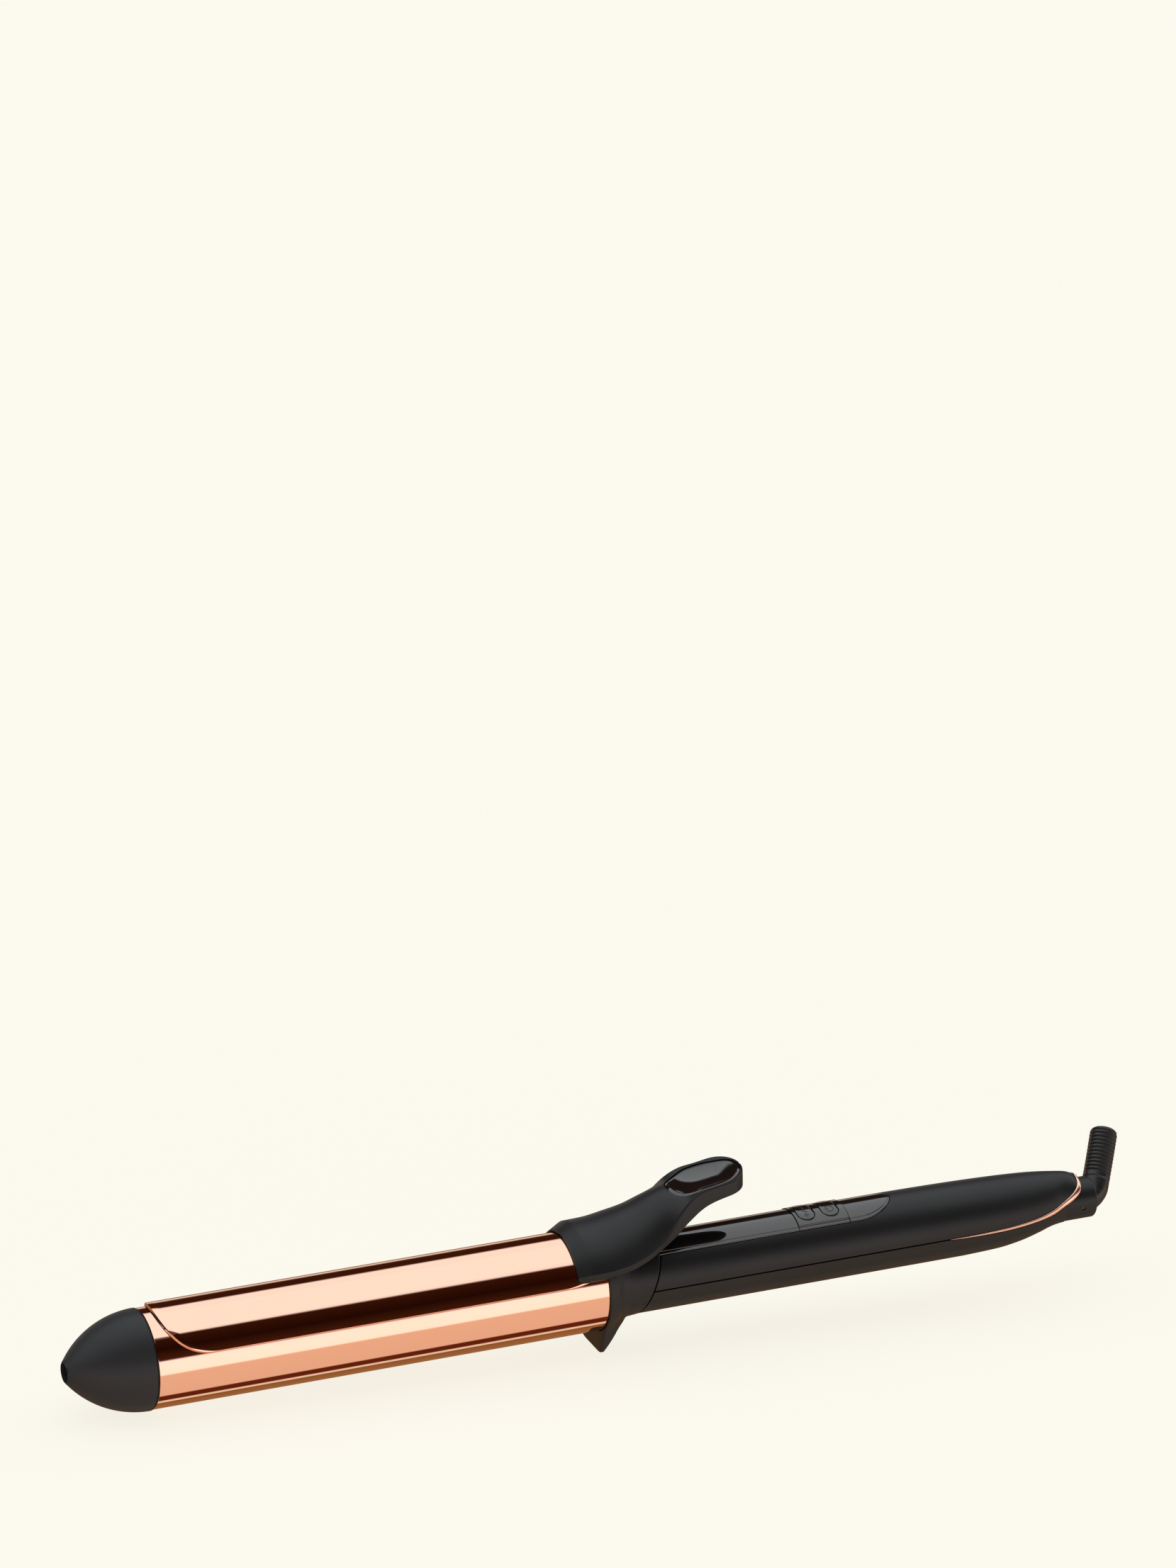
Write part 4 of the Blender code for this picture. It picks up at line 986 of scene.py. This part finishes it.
class IRON_OT_shells(Operator):
    """Build the two handle shells: half-tubes with a seam, a panel opening and a tapered tail"""

    bl_idname = "iron.shells"
    bl_label = "Handle shells"

    def execute(self, context):
        wall = sizes().shell_wall
        share = np.linspace(0, 1, 60)[None, :]

        x = shell_stations(SHELL_END_X)[:, None]
        start = trim_angle(x, TRIM_UPPER) + SEAM_CLEAR
        stop = 90 - panel_edge(x)
        angle = start + (stop - start) * share
        near = lean_front(handle_points(x + 0 * share, angle))
        far = near * np.array([1, -1, 1])
        sides = [(near, False, False), (far, False, False)]
        upper = sheet_piece("upper_handle_shell", sides, wall, sizes().edge_round)
        finish_piece(upper, SOFT_BLACK, "housing", ["upper_shell"], sharp=40)

        x = shell_stations(NECK_X)[:, None]
        start = trim_angle(x, TRIM_LOWER) - SEAM_CLEAR
        angle = start + (-180 - start * 2) * np.linspace(0, 1, 90)[None, :]
        grid = lean_front(handle_points(x + 0 * angle, angle))
        lower = sheet_piece("lower_handle_shell", [(grid, False, False)], wall, 0)
        carve(lower, *[well(at) for at in SCREW_X])
        finish_piece(lower, SOFT_BLACK, "housing", ["lower_shell"], sharp=40)
        for at in SCREW_X:
            self.build_boss(at)
        for side, seam in (("near", SEAM_ANGLE), ("far", 180 - SEAM_ANGLE)):
            self.build_lip("seam_lip_" + side, seam)
        return {"FINISHED"}

    def build_lip(self, name, seam):
        """The lip behind a seam: a strip of the handle's skin, moved in past the wall."""
        x = np.linspace(SHELL_FRONT_X + 2, TRIM_START_X + 8, 60)[:, None]
        angle = seam + np.linspace(-6, 6, 9)[None, :] + 0 * x
        wall = sizes().shell_wall * 1000
        faces = [handle_points(x + 0 * angle, angle, -wall - depth) for depth in (0.1, 0.8)]
        obj = link(name, mesh_of(name, loft(*faces)))
        finish_piece(obj, SOFT_BLACK, "housing", [])

    def build_boss(self, at):
        """The screw boss inside the lower shell: a short turned ring about Z."""
        low, step, high = -11.4, -10.5, -8.95
        outside, seat, hole = 3.6, 2.75, 1.35
        section = np.array(
            [(low, seat), (low, outside), (high, outside), (high, hole), (step, hole), (step, seat)]
        )
        a = np.linspace(0, math.tau, 48, endpoint=False)
        x = at + section[:, 1:] * np.cos(a)
        y = section[:, 1:] * np.sin(a)
        z = np.repeat(section[:, :1], 48, 1)
        obj = link(f"screw_boss_{int(at)}", mesh_of("screw_boss", [(np.stack([x, y, z], -1), True, True)]))
        finish_piece(obj, SOFT_BLACK, "housing", [])


def well(at):
    """A round hole through the lower shell for a screw head."""
    a = np.linspace(0, math.tau, 48, endpoint=False)
    rows = []
    for z, radius in ((-16, 0.0), (-16, 2.7), (-9, 2.7), (-9, 0.0)):
        rows.append(np.stack([at + radius * np.cos(a), radius * np.sin(a), np.full(48, float(z))], -1))
    return [(np.array(rows), False, True)]


class IRON_OT_trim(Operator):
    """Build the rose-gold crescent between the shells"""

    bl_idname = "iron.trim"
    bl_label = "Trim"

    def execute(self, context):
        v = 1 - (1 - np.linspace(0.012, 1, 150)) ** 2
        edges = []
        for span, power, sag in (TRIM_UPPER, TRIM_LOWER):
            t = math.pi / 2 * v ** (power / 2)
            u = np.sin(t) ** (2 / power)
            angle = SEAM_ANGLE + (90 - SEAM_ANGLE) * (1 - np.abs(np.cos(t)) ** (2 / power))
            edges.append(np.stack([TRIM_START_X + span * u, angle - 4 * sag * u * (1 - u)]))
        share = np.linspace(0.0, 1.0, 15)[:, None]
        x = edges[0][0] + (edges[1][0] - edges[0][0]) * share
        angle = edges[0][1] + (edges[1][1] - edges[0][1]) * share
        x = np.concatenate([x, x[:, -2::-1]], 1)
        angle = np.concatenate([angle, 180 - angle[:, -2::-1]], 1)
        crown = 0.28 * (1 - (2 * np.abs(share - 0.5)) ** 3) - 0.02
        fade = np.clip((x[7] - TRIM_START_X) / 9, 0.25, 1)
        outer = handle_points(x, angle, crown * fade)
        inner = handle_points(x, angle, -0.85 + 0 * x)
        obj = link("trim_crescent", mesh_of("trim_crescent", loft(outer, inner)))
        finish_piece(obj, "satin_gold_finish", "housing", ["trim_band"], sharp=50)
        return {"FINISHED"}


# ------------------------------------------------------------------ control panel


def panel_grid(front, rear, lift, bead):
    """The panel's curved face between two stations, with a groove along each side.

    The face follows the handle. A fine Gaussian groove runs just inside the
    edge and leaves a lip, and inside the groove the face may stand higher.
    """
    nose = PANEL_END_X - PANEL_NOSE
    if rear > nose:
        straight = np.linspace(front, nose, 12)[:-1]
        x = np.concatenate([straight, nose + (rear - nose) * np.sin(np.linspace(0, math.pi / 2, 50)[:-1])])
    else:
        x = np.linspace(front, rear, 60)
    x = x[:, None]
    edge = np.maximum(panel_edge(x, -0.22), 0.2)
    share = np.sin(np.linspace(-math.pi / 2, math.pi / 2, 221))[None, :]
    angle = 90 + edge * share
    inside = (1 - np.abs(share)) * edge * math.pi / 180 * 12.25
    groove = -bead * np.exp(-(((inside - 1.15) / 0.1) ** 2))
    roll = -0.16 * (1 - ease(inside / 0.3))
    raised = lift * ease((inside - 1.1) / 0.5)
    return handle_points(x + 0 * share, angle, groove + roll + raised)


def stadium(centre, half_length, half_width, share, a):
    """Points over a slot with round ends, long across the handle.

    Share 0 is its middle line and 1 its edge. Its outline is a circle of radius
    half_length pulled apart along Y.
    """
    pull = half_width - half_length
    x = centre + share * half_length * np.cos(a)
    y = share * half_length * np.sin(a) + pull * np.clip(np.sin(a) * 6, -1, 1) * (0.25 + 0.75 * share)
    return x, y


def skin_height(x, y, lift):
    """The height of the handle's skin over points near its top."""
    width, rise, _, axis = handle_sizes(x)
    return axis + (rise + lift) * np.sqrt(np.clip(1 - (y / (width + lift)) ** 2, 0, 1))


def stadium_patches(centre, half_length, half_width, low, high):
    """A solid slot shape between two heights."""
    a = np.linspace(0, math.tau, 96, endpoint=False)[None, :]
    share = np.array([0.0, 0.5, 1.0])[:, None]
    x, y = stadium(centre, half_length, half_width, share, a)
    under = np.stack([x, y, np.full(x.shape, low)], -1)
    over = np.stack([x, y, np.full(x.shape, high)], -1)
    return disc_solid(over, under)


class IRON_OT_panel(Operator):
    """Build the glossy control panel: a front length, the raised button frame and a rear length"""

    bl_idname = "iron.panel"
    bl_label = "Control panel"

    def execute(self, context):
        zone_front, zone_rear = BUTTON_ZONE
        lengths = (
            ("panel_front_length", SHELL_FRONT_X + 1.4, zone_front - 0.12, 0.0, 0.13, "panel_front"),
            ("button_frame", zone_front + 0.12, zone_rear - 0.12, 0.3, 0.12, "button_bezel"),
            ("panel_rear_length", zone_rear + 0.2, PANEL_END_X - 0.3, 0.0, 0.13, "panel_rear"),
        )
        for name, front, rear, lift, bead, node in lengths:
            grid = panel_grid(front, rear, lift, bead)
            obj = sheet_piece(name, [(grid, False, False)], sizes().shell_wall, 0.00012)
            if node == "button_bezel":
                slots = [stadium_patches(x, 3.1, 5.8, 4, 20) for x in BUTTON_X.values()]
                carve(obj, *slots)
            finish_piece(obj, GLOSS_BLACK, "housing", [node], sharp=30)
        return {"FINISHED"}


def button_top(x, y, share):
    """A button's face: it follows the handle, stands proud and rolls off at its edge."""
    roll = np.clip((share - 0.72) / 0.28, 0, 1)
    return skin_height(x, y, 0.55) - 0.4 * (1 - np.sqrt(1 - roll**2 * 0.98))


class IRON_OT_buttons(Operator):
    """Build the two push buttons and the plain signs on them"""

    bl_idname = "iron.buttons"
    bl_label = "Buttons"

    def execute(self, context):
        a = np.linspace(0, math.tau, 144, endpoint=False)[None, :]
        share = np.sin(np.linspace(0, math.pi / 2, 26))[:, None]
        for name, centre in BUTTON_X.items():
            x, y = stadium(centre, 2.8, 5.5, share, a)
            over = np.stack([x, y, button_top(x, y, share + 0 * a)], -1)
            under = np.stack([x, y, np.full(x.shape, 8.6)], -1)
            obj = link(name + "_cap", mesh_of(name + "_cap", disc_solid(over, under)))
            finish_piece(obj, GLOSS_BLACK, name, [name])
        self.build_signs()
        return {"FINISHED"}

    def build_signs(self):
        """A minus, a slash and a plus on the front button, and a power ring on the other."""
        centre = BUTTON_X["temp_button"]
        strokes = [
            ((centre, 1.0), (centre, -0.5)),
            ((centre - 0.8, -1.1), (centre + 0.8, -2.3)),
            ((centre, -2.8), (centre, -4.5)),
            ((centre - 0.85, -3.65), (centre + 0.85, -3.65)),
        ]
        lines = [np.linspace(start, end, 12) for start, end in strokes]
        self.ribbon("temp_signs", lines, "temp_button")
        centre = BUTTON_X["power_button"]
        a = np.linspace(math.radians(35), math.radians(325), 60)
        ring = np.stack([centre - 1.35 * np.cos(a), 1.35 * np.sin(a) - 2.5], 1)
        bar = np.linspace((centre - 1.7, -2.5), (centre - 0.3, -2.5), 10)
        self.ribbon("power_sign", [ring, bar], "power_button")

    def ribbon(self, name, lines, body):
        """Ribbons laid along lines on a button's face, a hair above it."""
        patches = []
        for line in lines:
            along = np.gradient(line, axis=0)
            along /= np.linalg.norm(along, axis=1)[:, None]
            across = np.stack([-along[:, 1], along[:, 0]], 1) * MARK_WIDTH / 2
            grids = []
            for lift in (0.0, 0.11):
                rows = []
                for side in (-1, 0, 1):
                    at = line + across * side
                    z = skin_height(at[:, 0], at[:, 1], 0.52 + lift)
                    rows.append(np.column_stack([at, z]))
                grids.append(np.array(rows))
            patches += loft(grids[1], grids[0])
        obj = link(name, mesh_of(name, patches))
        finish_piece(obj, "mark_finish", body, [])


# ------------------------------------------------------------------ cord end


class IRON_OT_swivel(Operator):
    """Build the swivel stub: a turned cup with a rounded rim, a bevel and a small dimple"""

    bl_idname = "iron.swivel"
    bl_label = "Swivel stub"

    def execute(self, context):
        outline = [
            (NECK_X + GAP, STUB_R),
            (STUB_END_X - 0.45, STUB_R),
            (STUB_END_X, STUB_R - 0.4),
            (STUB_END_X, RELIEF_CUP[1]),
            RELIEF_CUP,
            (RELIEF_CUP[0], BORE_R),
            (136, BORE_R),
            (136, 3.6),
            (148.4, 3.6),
            (148.4, 5.4),
            (150.4, 5.4),
            (150.4, 3.6),
            (NECK_X + GAP, 3.6),
        ]
        reach = [0.2, 0.2, 0.2, 0.15, 0.1, 0.1, 0.1, 0.1, 0.1, 0.2, 0.2, 0.1, 0.1]
        grid = revolve(fillet(outline, reach), STUB_Z, 160)
        obj = link("swivel_cup", mesh_of("swivel_cup", [(grid, True, True)]))
        carve(obj, [(dimple_grid((0, 0.62, 0.62, 0), (0.5, 0.5, -1.2, -1.2)), False, True)])
        finish_piece(obj, SOFT_BLACK, "swivel", ["swivel_stub"], sharp=36)
        self.build_plug()
        return {"FINISHED"}

    def build_plug(self):
        """A small round plug sunk in the stub's side: a flat dome on a short ring."""
        dome = dimple_grid((0.0, 0.35, 0.5, 0.55, 0.55), (-0.3, -0.3, -0.33, -0.4, -0.7))
        obj = link("swivel_plug", mesh_of("swivel_plug", [(dome, False, True)]))
        finish_piece(obj, GLOSS_BLACK, "swivel", [])


def dimple_grid(reach, rise):
    """Rings about a line out of the stub's side, each with its reach from it and rise over the skin."""
    a = np.linspace(0, math.tau, 40, endpoint=False)
    tilt = math.radians(-8)
    x = 167.6 + np.array(reach)[:, None] * np.cos(a)
    across = np.array(reach)[:, None] * np.sin(a)
    out = STUB_R + np.array(rise)[:, None] + 0 * a
    y = -(out * math.cos(tilt)) + across * math.sin(tilt)
    z = STUB_Z + out * math.sin(tilt) + across * math.cos(tilt)
    return np.stack([x, y, z], -1)


def relief_line(count):
    """The middle line of the strain relief: points and unit directions.

    The direction turns on an arc from straight back to up and away, and then
    leans a little further. The points are its running sum.
    """
    final = np.array(RELIEF_HEADING) / np.linalg.norm(RELIEF_HEADING)
    aside = final * np.array([0, 1, 1])
    aside /= np.linalg.norm(aside)
    last = final + np.array([-0.02, 0.04, 0])
    last /= np.linalg.norm(last)
    t = (np.arange(count) + 0.5) / count
    turn = np.minimum(t * RELIEF_LENGTH / RELIEF_BEND, math.acos(final[0]))[:, None]
    late = 0.8 * np.clip((t - 0.35) / 0.65, 0, 1)[:, None]
    heading = np.array([1.0, 0, 0]) * np.cos(turn) + aside * np.sin(turn)
    heading = heading * (1 - late) + last * late
    heading /= np.linalg.norm(heading, axis=1)[:, None]
    start = np.array([RELIEF_CUP[0] + GAP, 0, STUB_Z])
    points = start + np.cumsum(heading, 0) * (RELIEF_LENGTH / count)
    return points, heading


def relief_radius(t, a):
    """The sleeve's radius at share t of its length and angle a round it.

    A wide root eases to a smooth cuff with one crease. Behind it the ribs are
    rounded pulses, half a pitch apart on the two sides, and they fade to
    nothing at the two spines between the sides. The end rounds over.
    """
    root = 0.45 * (1 - ease(t / 0.14))
    crease = -0.2 * np.exp(-(((t - 0.30) / 0.008) ** 2))
    side = np.sin(a)
    ribs = sizes().rib_count
    phase = (t - 0.36) / (0.97 - 0.36) * ribs + np.where(side > 0, 0.5, 0.0)
    pulse = np.clip(1.5 * np.abs(np.sin(math.pi * phase)) - 0.25, 0, 1)
    strength = ease((np.abs(side) - 0.06) / 0.2)
    inside = ease((t - 0.35) / 0.015) * ease((0.985 - t) / 0.015)
    depth = sizes().rib_depth * 1000
    cut = -depth * (1 - pulse) * strength * inside
    end = -1.6 * (1 - np.sqrt(np.clip(1 - np.clip((t - 0.93) / 0.07, 0, 1) ** 2, 0, 1)))
    return RELIEF_R + root + crease + cut + end


class IRON_OT_strain_relief(Operator):
    """Build the strain relief: a ribbed sleeve swept along a bent line, with an open bore"""

    bl_idname = "iron.strain_relief"
    bl_label = "Strain relief"

    def execute(self, context):
        count = 420
        points, heading = relief_line(count)
        t = np.linspace(0, 1, count)[:, None]
        a = np.linspace(0, math.tau, 112, endpoint=False)[None, :]
        across = np.cross(heading, np.array([0.0, 0.8, -0.6]))
        across /= np.linalg.norm(across, axis=1)[:, None]
        other = np.cross(heading, across)
        rings = []
        for radius in (relief_radius(t, a), BORE_R + 0 * t + 0 * a):
            ring = across[:, None, :] * np.cos(a)[..., None] + other[:, None, :] * np.sin(a)[..., None]
            rings.append(points[:, None, :] + ring * radius[..., None])
        sleeve = np.concatenate([rings[0], rings[1][::-6]])
        obj = link("ribbed_sleeve", mesh_of("ribbed_sleeve", [(sleeve, True, True)]))
        finish_piece(obj, "rubber_finish", "swivel", ["strain_relief"], sharp=60)
        return {"FINISHED"}


# ------------------------------------------------------------------ carried parts


class IRON_OT_inner_parts(Operator):
    """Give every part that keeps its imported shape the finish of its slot"""

    bl_idname = "iron.inner_parts"
    bl_label = "Inner parts"

    def execute(self, context):
        slots = {part["node"]: part["material_slot"] for part in frame["record"]["subparts"]}
        for name, node in frame["nodes"].items():
            material = finish(SLOT_FINISHES[slots[name]])
            for place in node.material_slots:
                place.material = material
        return {"FINISHED"}


# ------------------------------------------------------------------ stage

# The studio round the iron as seen in its polished plating: the angle in degrees
# above the near side, going up over the top to the far side, and the light there.
STUDIO_BANDS = (
    (-175, (0.36, 0.20, 0.09)),
    (-103, (0.34, 0.17, 0.06)),
    (-99.5, (0.16, 0.05, 0.02)),
    (-97, (0.95, 0.95, 0.80)),
    (-91, (1.0, 1.0, 0.85)),
    (-89, (0.14, 0.028, 0.008)),
    (-73.5, (0.13, 0.026, 0.008)),
    (-71, (0.92, 0.74, 0.60)),
    (-18, (0.97, 0.79, 0.63)),
    (-15.5, (1.6, 1.6, 1.62)),
    (13, (1.6, 1.62, 1.72)),
    (16.5, (0.06, 0.02, 0.008)),
    (40, (0.018, 0.005, 0.002)),
    (66, (0.04, 0.011, 0.004)),
    (69, (1.25, 1.40, 1.50)),
    (140.5, (1.25, 1.40, 1.50)),
    (145, (0.045, 0.013, 0.004)),
    (171, (0.05, 0.015, 0.005)),
    (181, (1.0, 0.97, 0.88)),
    (185, (1.0, 0.97, 0.88)),
)


def build_world():
    """Light that depends on direction alone: broad bright and dark bands along the iron."""
    world = bpy.data.worlds.new("studio")
    bpy.context.scene.world = world
    world.use_nodes = True
    tree = world.node_tree
    background = tree.nodes["Background"]
    start = STUDIO_BANDS[0][0]
    place = tree.nodes.new("ShaderNodeTexCoord")
    split = tree.nodes.new("ShaderNodeSeparateXYZ")
    tree.links.new(place.outputs["Generated"], split.inputs["Vector"])

    def calculate(operation, *terms):
        """A math node over sockets and numbers."""
        node = tree.nodes.new("ShaderNodeMath")
        node.operation = operation
        for socket, term in zip(node.inputs, terms):
            if isinstance(term, bpy.types.NodeSocket):
                tree.links.new(term, socket)
            else:
                socket.default_value = term
        return node.outputs[0]

    near = calculate("MULTIPLY", split.outputs["Y"], -1)
    angle = calculate("ARCTAN2", split.outputs["Z"], near)
    turned = calculate("ADD", angle, math.radians(-start))
    share = calculate("DIVIDE", calculate("WRAP", turned, math.tau, 0), math.tau)
    ramp = tree.nodes.new("ShaderNodeValToRGB")
    top = max(max(light) for _, light in STUDIO_BANDS)
    stops = ramp.color_ramp.elements
    while len(stops) < len(STUDIO_BANDS):
        stops.new(0.5)
    for stop, (degrees, light) in zip(stops, STUDIO_BANDS):
        stop.position = (degrees - start) / 360
        stop.color = (*(value / top for value in light), 1)
    tree.links.new(share, ramp.inputs["Fac"])
    tree.links.new(ramp.outputs["Color"], background.inputs["Color"])
    background.inputs["Strength"].default_value = top


# How much of the floor's brightness is lit from the studio. The rest glows, which
# keeps the shadows pale.
FLOOR_SHADE = 0.12


def build_floor():
    """A plain pale floor, flat and wide."""
    size = 9.0
    mesh = bpy.data.meshes.new("floor")
    corners = [(-size, -size, 0), (size, -size, 0), (size, size, 0), (-size, size, 0)]
    mesh.from_pydata(corners, [], [(0, 1, 2, 3)])
    floor = link("floor", mesh)
    floor.location.z = -0.0002
    floor.visible_glossy = False
    material = bpy.data.materials.new("floor_paint")
    nodes = Nodes(material)
    base = tuple(colours().floor)
    nodes.tint(nodes.noise(1.5, 2), scaled(base, FLOOR_SHADE * 0.99), scaled(base, FLOOR_SHADE))
    nodes.set(Roughness=0.9, Specular_IOR_Level=0.1)
    nodes.shader.inputs["Emission Color"].default_value = (*base, 1)
    nodes.shader.inputs["Emission Strength"].default_value = 1 - FLOOR_SHADE
    mesh.materials.append(material)


def build_lamp():
    """A wide soft light high over the iron, which draws a faint shadow under it."""
    lamp = bpy.data.lights.new("overhead", "AREA")
    lamp.shape = "RECTANGLE"
    lamp.size, lamp.size_y = 3.0, 2.2
    lamp.energy = 1.5
    obj = bpy.data.objects.new("overhead", lamp)
    bpy.context.scene.collection.objects.link(obj)
    obj.location = (-0.1, 0.1, 2.2)
    obj.rotation_euler = Vector(obj.location).to_track_quat("Z", "Y").to_euler()


# The camera as turns in the iron's own frame, and what it looks at there.
CAMERA_AZIMUTH = -22.13
CAMERA_ELEVATION = 25.5
CAMERA_DISTANCE = 3.075
CAMERA_TARGET = (-1.4, 0.0, 4.1)
CAMERA_LENS = 224.4
CAMERA_SHIFT = 0.3095
CAMERA_SIDE_SHIFT = 0.0005


def build_camera():
    """A long lens, turned with the iron's own frame so that its foot and sides face as they do."""
    a = math.radians(CAMERA_AZIMUTH)
    e = math.radians(CAMERA_ELEVATION)
    right = np.array([math.cos(a), math.sin(a), 0])
    back = np.array([math.sin(a) * math.cos(e), -math.cos(a) * math.cos(e), math.sin(e)])
    up = np.cross(back, right)
    turn = Matrix(np.stack([TURN @ right, TURN @ up, TURN @ back], 1).tolist()).to_4x4()
    target = Vector(to_model([CAMERA_TARGET])[0])
    data = bpy.data.cameras.new("camera")
    data.lens = CAMERA_LENS
    data.sensor_width = 36.0
    data.shift_y = CAMERA_SHIFT
    data.shift_x = CAMERA_SIDE_SHIFT
    data.clip_end = 50
    camera = bpy.data.objects.new("camera", data)
    bpy.context.scene.collection.objects.link(camera)
    place = target + Vector(TURN @ back) * CAMERA_DISTANCE
    camera.matrix_world = Matrix.Translation(place) @ turn
    bpy.context.scene.camera = camera


class IRON_OT_stage(Operator):
    """Set the floor, the studio light and the camera"""

    bl_idname = "iron.stage"
    bl_label = "Stage"

    def execute(self, context):
        context.scene.view_settings.view_transform = "Standard"
        build_world()
        build_floor()
        build_lamp()
        build_camera()
        return {"FINISHED"}


# ------------------------------------------------------------------ add-on


class IRON_PT_pieces(Panel):
    """The iron's pieces, in the 3D view's sidebar"""

    bl_label = "Curling iron"
    bl_space_type = "VIEW_3D"
    bl_region_type = "UI"
    bl_category = "Iron"

    def draw(self, context):
        layout = self.layout
        for group in (context.scene.iron_sizes, context.scene.iron_colours):
            for key in group.__annotations__:
                layout.prop(group, key)
        for step in STEPS:
            layout.operator(step.bl_idname)


STEPS = (
    IRON_OT_inner_parts,
    IRON_OT_barrel,
    IRON_OT_cool_tip,
    IRON_OT_clip,
    IRON_OT_lever,
    IRON_OT_collar,
    IRON_OT_shells,
    IRON_OT_trim,
    IRON_OT_panel,
    IRON_OT_buttons,
    IRON_OT_swivel,
    IRON_OT_strain_relief,
    IRON_OT_stage,
)
CLASSES = (IronSizes, IronColours) + STEPS + (IRON_PT_pieces,)


def register():
    """Register the classes and hang the properties on the scene."""
    for item in CLASSES:
        bpy.utils.register_class(item)
    bpy.types.Scene.iron_sizes = PointerProperty(type=IronSizes)
    bpy.types.Scene.iron_colours = PointerProperty(type=IronColours)


def unregister():
    """Undo register."""
    del bpy.types.Scene.iron_colours
    del bpy.types.Scene.iron_sizes
    for item in reversed(CLASSES):
        bpy.utils.unregister_class(item)


def main():
    """Build every piece and the stage."""
    register()
    for step in STEPS:
        group, name = step.bl_idname.split(".")
        getattr(getattr(bpy.ops, group), name)()


if __name__ == "__main__":
    main()
